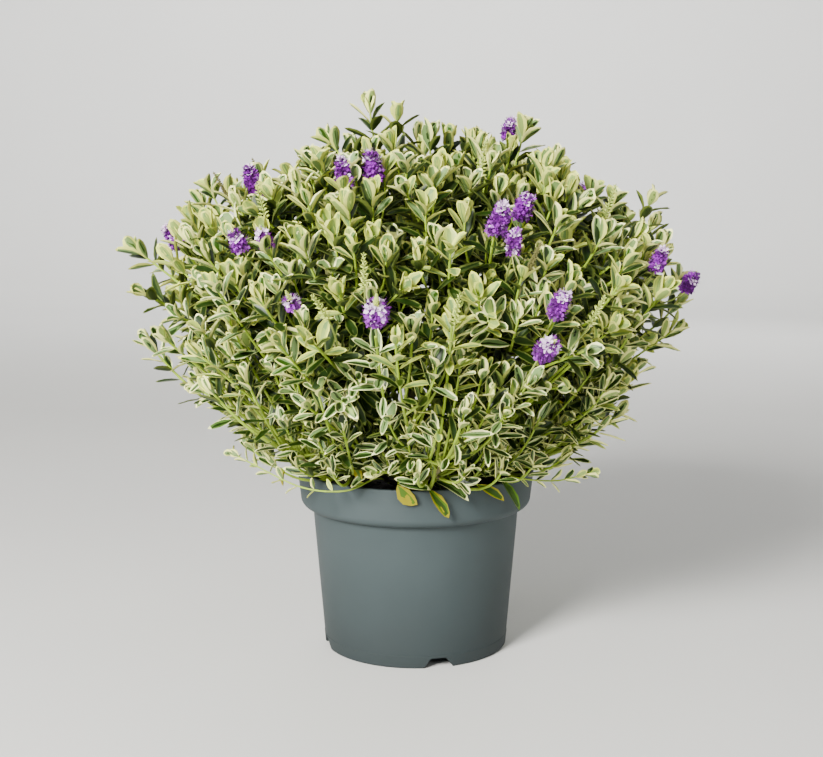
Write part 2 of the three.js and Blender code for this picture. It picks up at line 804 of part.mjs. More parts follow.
function hebeInPot() {
  const masses = plannedMasses();
  dealTips(masses);

  const plant = new THREE.Group();
  plant.add(piece("pot", pot(), "pot"));
  plant.add(piece("soil", soil(), "soil"));
  plant.add(piece("main_stem", solid(mainStem(0)), "stem"));
  for (const mass of masses) {
    plant.add(piece(mass.boughName, bough(mass), "bough"));
    plant.add(piece(mass.name, massOfFoliage(mass), "foliage"));
  }
  for (const shoot of TRAILING_SHOOTS) {
    plant.add(piece(shoot.name, trailingShoot(shoot, 0), "foliage"));
  }
  return plant;
}

export default hebeInPot();
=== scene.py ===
from functools import lru_cache
from math import asin, cos, degrees, hypot, pi, radians, sin
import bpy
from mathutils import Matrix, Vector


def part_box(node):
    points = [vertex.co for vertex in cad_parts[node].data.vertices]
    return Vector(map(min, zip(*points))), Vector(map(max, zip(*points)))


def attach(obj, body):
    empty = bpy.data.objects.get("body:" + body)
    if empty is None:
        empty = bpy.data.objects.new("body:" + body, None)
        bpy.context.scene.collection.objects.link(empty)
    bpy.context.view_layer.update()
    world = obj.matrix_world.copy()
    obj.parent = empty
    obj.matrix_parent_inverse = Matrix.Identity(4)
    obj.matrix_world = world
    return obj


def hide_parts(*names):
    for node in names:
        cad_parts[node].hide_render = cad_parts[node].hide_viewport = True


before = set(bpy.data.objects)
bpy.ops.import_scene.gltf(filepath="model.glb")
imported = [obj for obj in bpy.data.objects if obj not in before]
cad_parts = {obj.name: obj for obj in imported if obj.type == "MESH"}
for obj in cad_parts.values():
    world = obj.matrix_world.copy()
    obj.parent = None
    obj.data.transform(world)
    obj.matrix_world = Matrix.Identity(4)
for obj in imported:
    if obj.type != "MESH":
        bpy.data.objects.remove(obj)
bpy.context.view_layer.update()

from types import SimpleNamespace

import bpy
import numpy as np
from bpy.props import FloatProperty, FloatVectorProperty, IntProperty, PointerProperty
from mathutils import Euler, Vector, noise

bl_info = {
    "name": "Variegated hebe in a pot",
    "version": (1, 0, 0),
    "blender": (4, 5, 0),
    "location": "3D View > Sidebar > Hebe",
    "description": "Grows a flowering variegated hebe in its nursery pot",
    "category": "Add Mesh",
}


def mm(length):
    """Metres from millimetres."""
    return length / 1000


def linear(hex_colour):
    """The linear colour of an sRGB hex value."""
    channels = [int(hex_colour[i:i + 2], 16) / 255 for i in (1, 3, 5)]
    return [c / 12.92 if c <= 0.04045 else ((c + 0.055) / 1.055) ** 2.4 for c in channels]


# ---- Sizes that a user wouldn't change ----

GAP = mm(0.3)  # left open between the solids
POT_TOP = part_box("pot")[1]
SOIL_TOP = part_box("soil")[1].z

# The pot's outline, apart from the sizes in its settings.
WALL_TOP_EASE = (mm(0.6), mm(1))  # how far in and down the wall's top edge begins
BAND_ROUND = mm(9)
BAND_RADIUS = mm(112)
WALL_TOP_RADIUS = mm(100.8)
FOOT_ROUND = mm(2)
FOOT_STEP_HEIGHT = mm(12)  # a moulding line round the foot of the wall
FOOT_STEP = mm(0.35)
RIM_ROUND = mm(1.2)
ABOVE_LIP = mm(0.01)  # the hollow is cut this far past the lip
POT_SIDES = 160
CURVE_STEPS = 6
# painted shade: the pot's colour darkens over this height towards its foot
FOOT_SHADE_HEIGHT = mm(110)
SOFT_EDGE = radians(35)  # edges sharper than this shade as creases

# Drain notches in the foot of the wall.
NOTCHES = 4
FIRST_NOTCH_AZIMUTH = -76
NOTCH_FOOT_WIDTH = mm(30)
NOTCH_TOP_WIDTH = mm(17)
NOTCH_HEIGHT = mm(10)
NOTCH_DEPTH = mm(20)
NOTCH_ROUND = mm(3.5)
NOTCH_LEAN = 20  # degrees, of its sides, where its round corners end
NOTCH_EASE = mm(1)  # a notch narrows this much at each side over as much of its height
BELOW_FLOOR = mm(2)  # how far the tool that cuts the notches stands out under the pot
PAST_WALL = 6  # how far it stands out past the foot, in thicknesses of the wall

# The compost and the main stem.
SOIL_EDGE = mm(150)  # its surface is this high at the edge
SOIL_FOOT = mm(120)  # the compost is made from this height up, since nothing shows below
SOIL_FOOT_RADIUS = mm(92)
SOIL_SHOULDER = (mm(97), mm(137))  # radius and height just under the surface's edge
SOIL_SIDES = 84
SOIL_RINGS = 34
SOIL_SPREAD = 0.5  # how far it spreads into the band, as a share of the band's step
SOIL_SURFACE = mm(140)  # above this height its surface is uneven
SOIL_RELIEF = mm(2.2)
SOIL_LUMPS_A_METRE = 90
SOIL_FRACTAL = (0.8, 2.1, 5)  # roughness, lacunarity and octaves
CRUMBS = 420
CRUMB_REACH = 0.97  # of the surface's radius
CRUMB_SIZES = (0.8, 3.2)  # millimetres
CRUMB_UNEVEN = 0.35  # of its size, that its corners stray
CRUMB_FORM = (1, 0.8, 0.7)
STEM_HEIGHT = mm(62)
STEM_LEAN = np.array((mm(-5), mm(2), 0))
STEM_RADIUS = mm(8)
STEM_TIP_RADIUS = mm(5.5)
STEM_FLARE = mm(5)
STEM_FLARE_FADE = 8  # how soon the flare is gone up the stem
STEM_RINGS = 40
STEM_SIDES = 26
BARK_RIDGES = (420, 420, 70)  # ridges a metre round the stem and, much longer, along it
BARK_RELIEF = 0.1  # of the stem's radius
BARK_FRACTAL = (0.9, 2, 4)

# The crown's form: reach from the fan point by direction, with swells and hollows as
# azimuth, elevation, reach and spread.
FAN_POINT = np.array((0, 0, mm(165)))
SKIRT_ELEVATION = 8
DOME_ELEVATION = 38
LOWEST_TIP_ELEVATION = 13
SWELLS = (
    (180, 83, mm(28), 7),
    (0, 73, mm(26), 8),
    (0, 59, mm(-14), 6),
    (0, 50, mm(22), 8),
    (0, 30, mm(-22), 8),
    (180, 68, mm(-6), 8),
    (180, 55, mm(14), 8),
    (180, 39, mm(16), 7),
    (180, 27, mm(14), 8),
)

# The rings of boughs: name, count, elevation and first azimuth of the masses, then the elevation,
# reach, foot height and bow of the boughs.
RINGS = (
    ("low", 7, 23, -82, 13, mm(122), mm(172), mm(3)),
    ("middle", 6, 47, -60, 44, mm(110), mm(188), mm(9)),
    ("upper", 4, 69, -50, 68, mm(112), mm(201), mm(13)),
    ("top", 1, 89, 180, 89, mm(118), mm(214), 0),
)
BOUGH_RADIUS = mm(3.2)
BOUGH_TIP_RADIUS = mm(2.76)
BOUGH_SWELLING = (1.16, 0.98)  # of its radius at its leaf scars and between them
BOUGH_SIDES = 10
BOUGH_BEND = 0.4
BOUGH_STEP = mm(3)
FEWEST_BOUGH_STEPS = 8
BOUGH_RELIEF = 0.07  # of the bough's radius
BOUGH_LUMPS_A_METRE = 260
RINGED_STEPS = 4  # one step in so many has a leaf scar's ring
BARK_ENDS = 0.5  # the share of a bough, from its foot, that has bark

# The main shoots, with the tips that the outline and the blossom ask for as azimuth and elevation.
SEED = 2026
DEALT_TIPS = 70
GOLDEN_ANGLE = 137.508
SPREAD_ROUNDS = 60
SPREAD_PUSH = 0.0006
SPREAD_STEP = 0.04
TIP_ROOM = mm(30)  # between a tip and the walls of its mass's space
REACH_JITTER = 0.03
OUTLINE_TIPS = ((180, 83), (0, 73), (0, 50), (180, 55), (180, 39), (180, 27), (0, 34))
BLOSSOM_TIPS = (
    (-150, 61), (-112, 62), (-126, 47), (-71, 51), (-60, 58),
    (-25, 73), (-64, 35), (-98, 36), (-32, 42), (-14, 37),
    (60, 40), (88, 60), (125, 38), (150, 58), (25, 56),
)
RISE = 1 / 3
FINE_RISE = 0.7  # finer shoots turn up more at their ends
SHOOT_BEND = 0.5
LEADER_BEND = 0.4
HIGHEST_FORK = 0.55
LOWEST_FORK = 0.08
LOW_FORK = 0.4  # share of a low bough from where its shoots fork, up to its end

# The finer shoots that branch from the main ones.
FINE_LOWEST_ELEVATION = 19
LOW_GAPS = 0.71  # share of the lowest fine shoots left out
DENSER_IN_LIGHT = 0.35  # by how much that share is less at the front, which faces the light
LOW_RISE = 0.9  # how much more a low shoot turns up at its end
FINE_PUSH = 1.2e-5
FINE_STEP = 0.01
FINE_ROUNDS = 14
FINE_JITTER = 0.22
FINE_JITTER_POWER = 1.6  # so that most end near the crown's outside
FINE_LOWEST_FORK = 0.12
LOW_DEPTH = 0.24  # how much shorter the lowest fine shoots are
FINE_FORK_BACK = mm(30)
FINE_FORK_SPREAD = 1.25  # how much further back it forks, of how far it ends to the side
SHORTEST_SHOOT = mm(12)
SHOOT_CLEARANCE = mm(2)  # that a shoot's bend keeps from the pot and the compost
SPIKE_REACH = mm(12)  # that flower spikes stand out beyond the end leaves of their shoot
LEAF_REACH = 0.72  # of the leaf length that the end leaves stand out beyond their shoot

# Long shoots leave the main stem low, run out close over the rim and rise to the crown's outside.
LONG_SHOOTS = 32
LONG_NAMED = ((-83, 37), (-118, 33), (-48, 34), (-97, 55), (-70, 24), (-140, 30))  # these show
LONG_ELEVATIONS = (20, 50)
LONG_FEET = (0.1, 0.5)  # share of the main stem at which they leave it
LONG_LEAFY_SHARE = 0.84
LONG_REACHES = (0.86, 1.03)  # of the crown's own reach
LONG_LOW_DEPTH = 0.08  # how much shorter the lowest long shoots are
LONG_OVER_RIM = (mm(110), mm(58))  # how far out the flattest and the steepest pass the rim's height
LONG_OVER_RIM_HEIGHT = mm(188)
LONG_OVER_RIM_SHARES = (0.85, 1)  # by which that distance varies
LONG_SAG = mm(3)  # between its foot and the rim
LONG_BELLY = 0.06  # of its reach, that a long shoot swings out at most
LONG_SWAY = 0.03  # of its reach, that it strays aside
LEANING_OVER_RIM = (mm(113), mm(180))  # the first named one leans on the rim, this far out and high
SHOWN_ROOM = mm(4.5)  # left free in front of a shoot that shows

# Inner shoots fill the crown behind the outer ones.
INNER_SHOOTS = 130
INNER_ELEVATIONS = (22, 62)
INNER_REACHES = (0.45, 0.78)
INNER_LOWEST = mm(184)
INNER_FORKS = (0.55, 1)  # share of its bough at which one forks
INNER_LEADER_FORK = 0.25  # share of the leader at which the others fork

# Stems: their radius at their feet and, for all, at their tips.
LEADER_RADIUS = mm(2.3)
SHOOT_RADIUS = mm(1.8)
FINE_RADIUS = mm(1.35)
LONG_RADIUS = mm(1.8)
INNER_RADIUS = mm(1.2)
TIP_RADIUS = mm(0.9)
JOINT_STEP = mm(5.5)  # half the distance between a shoot's joints
FEWEST_STEPS = 4
JOINT_SWELLING = (1.12, 0.95)  # of a shoot's radius at its joints and between them
RIPE_SHARE = 0.6  # the share of a shoot, from its foot, that is duller than its young end
WOODY_SHARE = 0.2  # the share of a strong shoot that has bark
SHOOT_SIDES = 8
FINE_SIDES = 5

# Leaves, by their pair's rank from the tip of the shoot inwards. A shoot or a leaf is low, from 0 to
# 1, by how near its direction from the fan point is to the crown's foot: low leaves are narrow, and
# low shoots have their pairs further apart. Two values marked upper, low are for upper leaves and for
# low ones. Other pairs of values are the least and the most, or say what they are.
LOW_ELEVATION = 14
UPPER_ELEVATION = 44
FIRST_PAIR = mm(1.5)
INTERNODE = mm(4.3)
WIDER_INTERNODE_LOW = 0.3
INTERNODE_GROWTH = 1.38
LONGEST_INTERNODE = mm(17)
MOST_PAIRS = 30
LEAFY_SHARES = (0.92, 0.84)  # of a shoot's length, at most: upper, low
FIRST_FACING = np.array((0.2, 0.1, 1.0))
TURN_SCATTER = (0.13, 0.35)  # radians: upper, low
BUD_OPENINGS = (13, 44)  # degrees from the shoot, of the first pair in a closed and an open bud
BUD_POWER = 1.5  # so that most buds are nearly closed
FULL_OPENINGS = (74, 60)  # of pairs well behind the bud: upper, low
OPENING_PAIRS = 2.5  # how many pairs a bud takes to open
OPENING_POWER = 1.5
OPENING_SCATTER = (4, 13)  # degrees: upper, low
LIFT_TO_LIGHT = (0.2, 0.15)  # upper, low
LOW_LIFT = -0.2  # low leaves droop this much at most
FACING_UP = 0.8
FACING_OUTWARDS = 0.4
ROOT_SHARE = 0.6  # of the shoot's radius, at which a leaf begins
LEAF_SIZES = (0.84, 1.1)
BUD_LENGTH = 0.6  # of the leaf length in the settings, for the first pair
FULL_LENGTH = 1.04
LENGTH_PAIRS = 1.6
SHORTER_LOW = 0.1
LEAF_WIDTHS = (0.9, 1.1)
NARROWER_INWARDS = 0.035  # with each pair
NARROWING_PAIRS = 8  # no narrower behind these
NARROWER_LOW = 0.38
BUD_ARCHES = (-0.8, -0.1)  # of the first pair in a closed and an open bud
FULL_ARCHES = (0.32, 0.15)  # upper, low
ARCH_PAIRS = 2.4
ARCH_SCATTER = 0.12
FOLDS = (0.6, 0.3)  # about the midrib, of the first pair and of full-grown leaves
FOLD_PAIRS = 3
FOLD_SCATTER = 0.08
MOST_WAVE = mm(0.7)
WAVES = 9  # radians along a leaf
TWIST_SCATTER = (0.2, 0.45)  # radians: upper, low
CORE_SHARES = (0.12, 0.42)  # of the leaf's half width, as the flanks' are
BROADER_CORE_LOW = 0.5
FLANK_SHARES = (0.58, 0.84)
BROADER_FLANK_LOW = 0.04
CORE_UNEVEN = (0.2, 1.6)  # how the zones vary along one leaf
FLANK_UNEVEN = (0.72, 1.28)
CORE_LIMITS = (0.04, 0.8)
FLANK_BEYOND_CORE = 0.08
FLANK_LIMIT = 0.95
FIRM_PAIRS = 4  # none of these has fallen
FALLEN_SHARE = 0.06  # more of a shoot's leaves have fallen with each pair behind them
FALLEN_FROM_LONG = 0.6  # of that share, on long and trailing shoots
LEAF_STATIONS = (0.13, 0.38, 0.66, 0.89)  # along a leaf, with its width at each of them
BROAD_OUTLINE = (0.45, 0.92, 0.97, 0.54)
NARROW_OUTLINE = (0.5, 0.97, 0.93, 0.52)
LEAF_THICKNESS = mm(0.7)
LEAF_CREASE = radians(70)

# Two shoots that trail over the rim, as the points they pass through, in millimetres.
TRAILING_SHOOTS = {
    "left": ((-8, -14, 160), (-24, -60, 172), (-37, -95, 183), (-63, -119, 177), (-100, -121, 180),
             (-146, -110, 199), (-166, -102, 208)),
    "right": ((11, -10, 160), (50, -45, 172), (77, -74, 184), (96, -90, 182), (129, -90, 180),
              (149, -88, 184), (162, -86, 187)),
}
TRAILING_RADIUS = mm(0.95)
TRAILING_LEAF_SCALE = 0.55
TRAILING_BREADTH = 1.7
TRAILING_SPRAYS = ("green", "sage", "fresh", "green")
TRAILING_LEAFY_SHARE = 0.72
TRAILING_LIFT = -0.9  # their leaves may hang down this much
TRAILING_TIP_RADIUS = mm(0.63)
TRAILING_WOODY_SHARE = 0.3
TRAILING_SIDES = 7
TRAILING_BARE = mm(1)  # they have no leaves over the pot, and so far outside it
TRAILING_TOWARDS = (0, 12)  # azimuth and elevation
TRAILING_TURN = 0.8  # radians, of the first pair of leaves

# Old leaves that hang over the rim: foot and tip in millimetres, width and spray.
OLD_LEAVES = (
    ((-17, -118, 182), (-5, -122, 161), 15, "golden"),
    ((-16, -116, 183), (11, -122, 176), 10, "green"),
    ((11, -117, 178), (27, -124, 153), 12, "turning"),
    ((17, -114, 185), (45, -122, 168), 12, "green"),
    ((55, -112, 181), (77, -118, 166), 9, "turning"),
    ((76, -104, 185), (93, -116, 160), 10, "turned"),
    ((-120, -84, 190), (-124, -92, 176), 8, "golden"),
    ((-56, -103, 203), (-52, -112, 184), 8, "golden"),
    ((30, -108, 186), (52, -119, 177), 9, "sage"),
    ((-44, -104, 188), (-57, -119, 180), 8, "sage"),
)
OLD_LIFT = 0.25  # how much they rise before they hang
OLD_LENGTH = 1.06  # of the straight distance from foot to tip
OLD_FACING_UP = 0.7
OLD_FACING_SCATTER = 0.4
OLD_NARROWNESS = 0.3  # from the broad outline to the narrow one
OLD_ARCH = 0.5
OLD_FOLDS = (0.35, 0.6)
OLD_WAVE = mm(0.6)
OLD_TWIST = 0.3
OLD_CORE = 0.4
OLD_FLANK = 0.72
OLD_TWIG_RADIUS = mm(1.0)
OLD_TWIG_TIP_RADIUS = mm(0.6)
OLD_TWIG_FOOT = (0.55, 0.55, 1)  # as a share of its leaf's foot on each axis
OLD_TWIG_LIFTS = (0, 8)  # millimetres
OLD_TWIG_ABOVE_SOIL = mm(6)
OLD_TWIG_BEND = 0.6
OLD_TWIG_BOW = mm(7)
OLD_TWIG_INTO_LEAF = mm(0.8)

# Where leaves may not be.
OVER_RIM = mm(160)  # nearer than this, only old leaves hang as low as the rim
ABOVE_RIM = mm(9)
INSIDE_POT = mm(96)
ABOVE_SOIL = mm(4)
SHOWN_STRETCH = (0.3, 0.85)  # the share of a shoot that shows which has room in front of it
SHOWN_POINTS = 16

# Spikes of each kind: azimuth, elevation, share of the full size, and share of a spike that is open.
FLOWER_SPIKES = (
    (-161, 61, 1.0, 0.9), (-116, 64, 0.8, 0.95), (-107, 67, 0.9, 0.85), (-133, 47, 0.5, 0.8),
    (-126, 48, 0.45, 0.7), (-70, 52, 1.0, 0.95), (-61, 55, 0.8, 0.8), (-69, 47, 0.45, 0.95),
    (-13, 75, 0.5, 0.9), (-64, 36, 0.75, 0.85), (-66, 31, 0.95, 0.7), (-97, 36, 1.3, 0.54),
    (-28, 42, 0.55, 0.9), (-14, 37, 0.65, 0.75), (-113, 37, 0.4, 0.4), (60, 40, 1.0, 0.8),
    (88, 60, 0.9, 0.9), (125, 38, 0.9, 0.7), (150, 58, 0.7, 0.9), (25, 56, 1.0, 0.8),
    (100, 31, 0.6, 0.7), (172, 44, 0.8, 0.9),
)
BUD_SPIKES = (
    (-100, 42, 0.9, 0), (-83, 36, 1.0, 0), (-56, 35, 0.9, 0), (-107, 36, 0.9, 0), (-58, 70, 0.8, 0),
    (-138, 56, 0.8, 0), (-20, 55, 0.9, 0), (40, 52, 1.0, 0), (110, 45, 1.0, 0), (160, 36, 0.9, 0),
)
CAPSULE_SPIKES = (
    (-170, 57, 1.0, 0), (-179, 63, 0.9, 0), (-66, 44, 0.7, 0), (100, 62, 1.0, 0), (20, 40, 0.9, 0),
)
SPIKE_DEPTH = 0.93  # share of the crown's reach at a spike's middle
SPIKE_RISE = 0.9  # how much a spike turns up at most
SPIKE_SCATTER = 0.1
SMALL_SPIKE = 0.6  # the least length, as a share of a full spike's
SPIKE_LIGHT = mm(40)  # how far beyond a spike there are no leaves in its light
LIGHT_WAY = np.array((-0.2, -0.5, 0.2))  # that way is turned this much towards the key light
SPIKE_BACK = mm(34)  # how far behind the tip of its shoot a spike's stalk forks
FLOWER_ROOM = mm(11)  # that leaves leave free round a full spike
PAIRED_ROOM = mm(6)
PAIRED_LENGTH = mm(38)
STALK_BEND = mm(9)
STALK_RADIUS = mm(0.8)
STALK_SIDES = 5
STALK_RADII = (mm(0.8), mm(0.3))  # inside a flower spike
STALK_SHARE = 0.96
PAIRED_STALK_RADII = (mm(0.9), mm(0.4))
FIRST_FLORET_SIDE = np.array((0.3, 0.5, 0.8))

# A floret, in shares of its size.
TUBE_LENGTHS = (0.46, 0.6)
PETAL_LENGTH = 0.46
PETAL_HALF_WIDTH = 0.19
PETAL_FOOT = 0.07
PETAL_SHOULDER = (0.6, 0.8)  # how far along and how far bent out a petal is widest
PETALS_BENT = (0.35, 0.9)
WITH_STAMENS = 0.5  # share of the florets
STAMEN_REACH = (0.62, 0.22, 0.1)  # outwards, aside and up
STAMEN_HALF_WIDTH = 0.018

# A flower spike's florets, from its foot to its tip, and the buds beyond them.
FLORET_SIZES = (0.85, 1.1)
SMALL_FLORET = 0.7  # on the smallest spikes
FLORET_LEANS = (0.05, 0.95)  # how far the lowest and the highest lean towards the spike's tip
LEAN_LEVEL = 0.8
LEAN_UP = 0.15
OPENING_SHARE = 0.3  # of the spike's length, where florets are still opening
DEEP_SHARE = 0.55  # of the florets that are open
LILAC_SHARES = (0.03, 0.6)  # of old florets, and how many more of the newest
PALE_BUDS = 0.05  # of the spike's length
PALE_BUD_SIZE = 0.66  # of a floret's
PALE_BUD_PLUMPNESS = 0.16
GREEN_BUD_SIZES = (0.55, 0.3)
GREEN_BUD_PLUMPNESS = 0.28
BUD_BELLY = 0.55  # where a bud is thickest

# Spikes of buds or capsules in crossed pairs.
ROWS_TO_A_BUD = 2.0
PAIRED_STRETCH = (0.08, 0.9)  # share of the spike where they start, and that they fill
PAIRED_SCATTER = 0.12
PAIRED_LEANS = (0.3, 1.2)
PAIRED_SIZES = (1.1, 0.45)  # from the spike's foot to its tip
BUD_SIZE = mm(6.4)
BUD_PLUMPNESS = 0.16
CAPSULE_SIZE = mm(4.2)
CAPSULE_PLUMPNESS = 0.34


# ---- Settings ----

def length(name, description, default):
    """A length that a user may change, given in metres."""
    return FloatProperty(name=name, description=description, default=default, unit="LENGTH", min=0)


def colour(name, description, hex_colour):
    """A colour that a user may change, given as an sRGB hex value."""
    return FloatVectorProperty(name=name, description=description, default=linear(hex_colour),
                               subtype="COLOR", size=3, min=0, max=1)


class HebePotSettings(bpy.types.PropertyGroup):
    """Sizes and colours of the pot and its compost"""
    height: length("Height", "From the floor to the rim", POT_TOP.z)
    rim_radius: length("Rim radius", "Outside of the rim", POT_TOP.x)
    foot_radius: length("Foot radius", "Outside of the foot", mm(89))
    lip_width: length("Lip", "Width of the flat lip", mm(4))
    band_height: length("Band", "Height of the stepped-out band under the rim", mm(37))
    wall: length("Wall", "Thickness of the wall", mm(1.8))
    plastic: colour("Plastic", "Grey-green of the moulded pot", "#394345")
    compost: colour("Compost", "Moist dark compost", "#1A140F")


class HebeCrownSettings(bpy.types.PropertyGroup):
    """Form of the crown and size of its leaves"""
    dome_reach: length("Dome reach", "From the fan point to the top and sides", mm(350))
    skirt_reach: length("Skirt reach", "From the fan point to the lowest shoots", mm(175))
    fine_shoots: IntProperty(name="Fine shoots", description="Shoots that branch from the main ones",
                             default=600, min=0)
    leaf_length: length("Leaf length", "Of a full-grown leaf", mm(30))
    leaf_width: length("Leaf width", "Of a full-grown leaf near the top", mm(12.5))
    leafy_length: length("Leafy length", "How far down its leaves reach on an upper shoot", mm(56))


class HebeBlossomSettings(bpy.types.PropertyGroup):
    """Size and colours of the flower spikes"""
    spike_length: length("Spike length", "From its lowest floret to its tip", mm(24))
    floret_reach: length("Floret reach", "From the spike's middle to the ends of the petals", mm(9.2))
    florets: IntProperty(name="Florets", description="On a full spike", default=125, min=1)
    violet: colour("Violet", "Petals of open florets", "#8A22A8")
    deep_violet: colour("Deep violet", "Petals of older florets", "#4E0E5E")
    lilac: colour("Lilac", "Petals of opening florets", "#E0C6E6")
    bud: colour("Bud", "Green buds at the spike's tip", "#BCCB5E")
    capsule: colour("Capsule", "Spent brown-green seed capsules", "#5E5C30")


# ---- Small helpers ----

def unit(vector):
    return vector / np.linalg.norm(vector)


def units(vectors):
    """Rows of an array, each at length one."""
    return vectors / np.linalg.norm(vectors, axis=-1, keepdims=True)


def lerp(start, end, share):
    return start + (end - start) * share


def direction(azimuth, elevation):
    level = cos(radians(elevation))
    return np.array((cos(radians(azimuth)) * level, sin(radians(azimuth)) * level, sin(radians(elevation))))


def from_fan(towards, reach):
    return FAN_POINT + towards * reach


def across(axis, wanted):
    """The part of a direction that lies across an axis, at length one."""
    return unit(wanted - axis * (wanted @ axis))


def turned(vector, axis, angle):
    """A vector turned about an axis of length one."""
    return (vector * cos(angle) + np.cross(axis, vector) * sin(angle)
            + axis * (axis @ vector) * (1 - cos(angle)))


def even_random(seed):
    """The same even draws as for the solids: a linear congruential generator."""
    state = seed
    while True:
        state = (state * 1664525 + 1013904223) % 2 ** 32
        yield state / 2 ** 32


LINE_POINTS = 17
TANGENT_STEP = 0.02  # of a line's length, to both sides
SEAM_SIDE = np.array((0.31, 0.87, 0.38))  # where a tube's seam starts; no limb runs this way


class Line:
    """A limb's middle line, measured by shares of its length."""

    def __init__(self, points):
        self.points = np.asarray(points)
        steps = np.linalg.norm(np.diff(self.points, axis=0), axis=1)
        self.reached = np.concatenate(([0], np.cumsum(steps)))
        self.length = self.reached[-1]

    def at(self, shares):
        wanted = np.asarray(shares) * self.length
        return np.stack([np.interp(wanted, self.reached, axis) for axis in self.points.T], axis=-1)

    def tangent(self, shares):
        shares = np.asarray(shares)
        ahead = self.at(np.minimum(shares + TANGENT_STEP, 1))
        return units(ahead - self.at(np.maximum(shares - TANGENT_STEP, 0)))


def bowed_line(start, bend, end):
    """A quadratic curve from start to end, drawn towards bend."""
    t = np.linspace(0, 1, LINE_POINTS)[:, None]
    return Line(start * (1 - t) ** 2 + bend * 2 * t * (1 - t) + end * t ** 2)


def line_through(points):
    """A smooth curve through points: each stretch is a cubic whose knots follow the root of its chord."""
    points = np.asarray(points, float)
    ends = 2 * points[0] - points[1], 2 * points[-1] - points[-2]
    posts = np.vstack((ends[0], points, ends[1]))
    drawn = [points[:1]]
    for stretch in (posts[i:i + 4] for i in range(len(points) - 1)):
        knots = np.concatenate(([0], np.cumsum(np.linalg.norm(np.diff(stretch, axis=0), axis=1) ** 0.5)))
        t = np.linspace(knots[1], knots[2], LINE_POINTS)[1:, None]
        rows = list(stretch)
        for order in (1, 2, 3):
            span = [(knots[i], knots[i + order]) for i in range(4 - order)]
            if order == 3:
                span = [(knots[1], knots[2])]
            if order == 2:
                span = [(knots[0], knots[2]), (knots[1], knots[3])]
            rows = [(rows[i] * (b - t) + rows[i + 1] * (t - a)) / (b - a) for i, (a, b) in enumerate(span)]
        drawn.append(rows[0])
    return Line(np.vstack(drawn))


# ---- Meshes ----

class Shape:
    """Vertices and faces gathered for one mesh. Each face holds the number of its finish."""

    def __init__(self):
        self.vertices = []
        self.faces = []
        self.finishes = []
        self.count = 0

    def add(self, vertices, faces, finishes):
        self.vertices.append(np.asarray(vertices, float).reshape(-1, 3))
        self.faces.extend([[corner + self.count for corner in face] for face in faces])
        self.finishes.extend(finishes)
        self.count += len(self.vertices[-1])

    def tube(self, points, radii, sides, finish=0):
        """A closed round tube along points, with a radius and a finish for each stretch."""
        points = np.asarray(points)
        radii = np.broadcast_to(radii, len(points))
        tangents = units(np.gradient(points, axis=0))
        side = across(tangents[0], SEAM_SIDE)
        turn = np.linspace(0, 2 * pi, sides, endpoint=False)
        rings = []
        for point, tangent, radius in zip(points, tangents, radii):
            side = across(tangent, side)
            rings.append(point + radius * (np.outer(np.cos(turn), side)
                                           + np.outer(np.sin(turn), np.cross(tangent, side))))
        finish = np.broadcast_to(finish, len(points) - 1)
        faces, finishes = [], []
        for ring in range(len(points) - 1):
            for i in range(sides):
                j = (i + 1) % sides
                a, b = ring * sides, (ring + 1) * sides
                faces.append((a + i, a + j, b + j, b + i))
                finishes.append(int(finish[ring]))
        last = (len(points) - 1) * sides
        faces += [tuple(reversed(range(sides))), tuple(range(last, last + sides))]
        finishes += [int(finish[0]), int(finish[-1])]
        self.add(np.vstack(rings), faces, finishes)

    def lathe(self, outline, sides):
        """A closed turned body from an outline of radii and heights that starts and ends on the axis."""
        turn = np.linspace(0, 2 * pi, sides, endpoint=False)
        rings = [np.stack((r * np.cos(turn), r * np.sin(turn), np.full(sides, z)), axis=1)
                 for r, z in outline[1:-1]]
        foot, top = (0, 0, outline[0][1]), (0, 0, outline[-1][1])
        end = len(rings) * sides
        faces = []
        for i in range(sides):
            j = (i + 1) % sides
            faces.append((end, j, i))
            faces.append((end + 1, end - sides + i, end - sides + j))
            for a in range(0, end - sides, sides):
                faces.append((a + i, a + j, a + sides + j, a + sides + i))
        self.add(np.vstack(rings + [foot, top]), faces, [0] * len(faces))

    def made(self, name, materials, crease=SOFT_EDGE):
        """The gathered faces as one object with those materials."""
        mesh = bpy.data.meshes.new(name)
        mesh.from_pydata(np.vstack(self.vertices).tolist(), [], self.faces)
        for material in materials:
            mesh.materials.append(material)
        mesh.polygons.foreach_set("material_index", np.array(self.finishes, np.int32))
        mesh.shade_smooth()
        mesh.set_sharp_from_angle(angle=crease)
        mesh.update()
        thing = bpy.data.objects.new(name, mesh)
        bpy.context.scene.collection.objects.link(thing)
        return thing


def placed(thing, slot, *nodes):
    """Hands over a finished piece: it rides on the plant's one body and stands for those solids."""
    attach(thing, "root")
    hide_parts(*nodes)


def cut(body, tool):
    """Cuts a tool's volume out of a body, and removes the tool."""
    change = body.modifiers.new("cut", "BOOLEAN")
    change.object = tool
    change.operation = "DIFFERENCE"
    change.solver = "EXACT"
    bpy.context.view_layer.update()
    changed = bpy.data.meshes.new_from_object(body.evaluated_get(bpy.context.evaluated_depsgraph_get()))
    body.modifiers.clear()
    body.data = changed
    bpy.data.objects.remove(tool)


# ---- Materials ----

COLOURS = {"data_type": "RGBA"}
MULTIPLIED = {"data_type": "RGBA", "blend_type": "MULTIPLY"}


def node(tree, kind, settings=None, **links):
    """Adds a node with its own settings and values, or links to its inputs. An input is called by its
    name, or by an underscore and its number where its name isn't its own."""
    added = tree.nodes.new(kind)
    for name, value in (settings or {}).items():
        setattr(added, name, value)
    for name, value in links.items():
        socket = added.inputs[int(name[1:])] if name[1:].isdigit() else added.inputs[name.replace("_", " ")]
        if isinstance(value, bpy.types.NodeSocket):
            tree.links.new(value, socket)
        else:
            socket.default_value = value
    return added


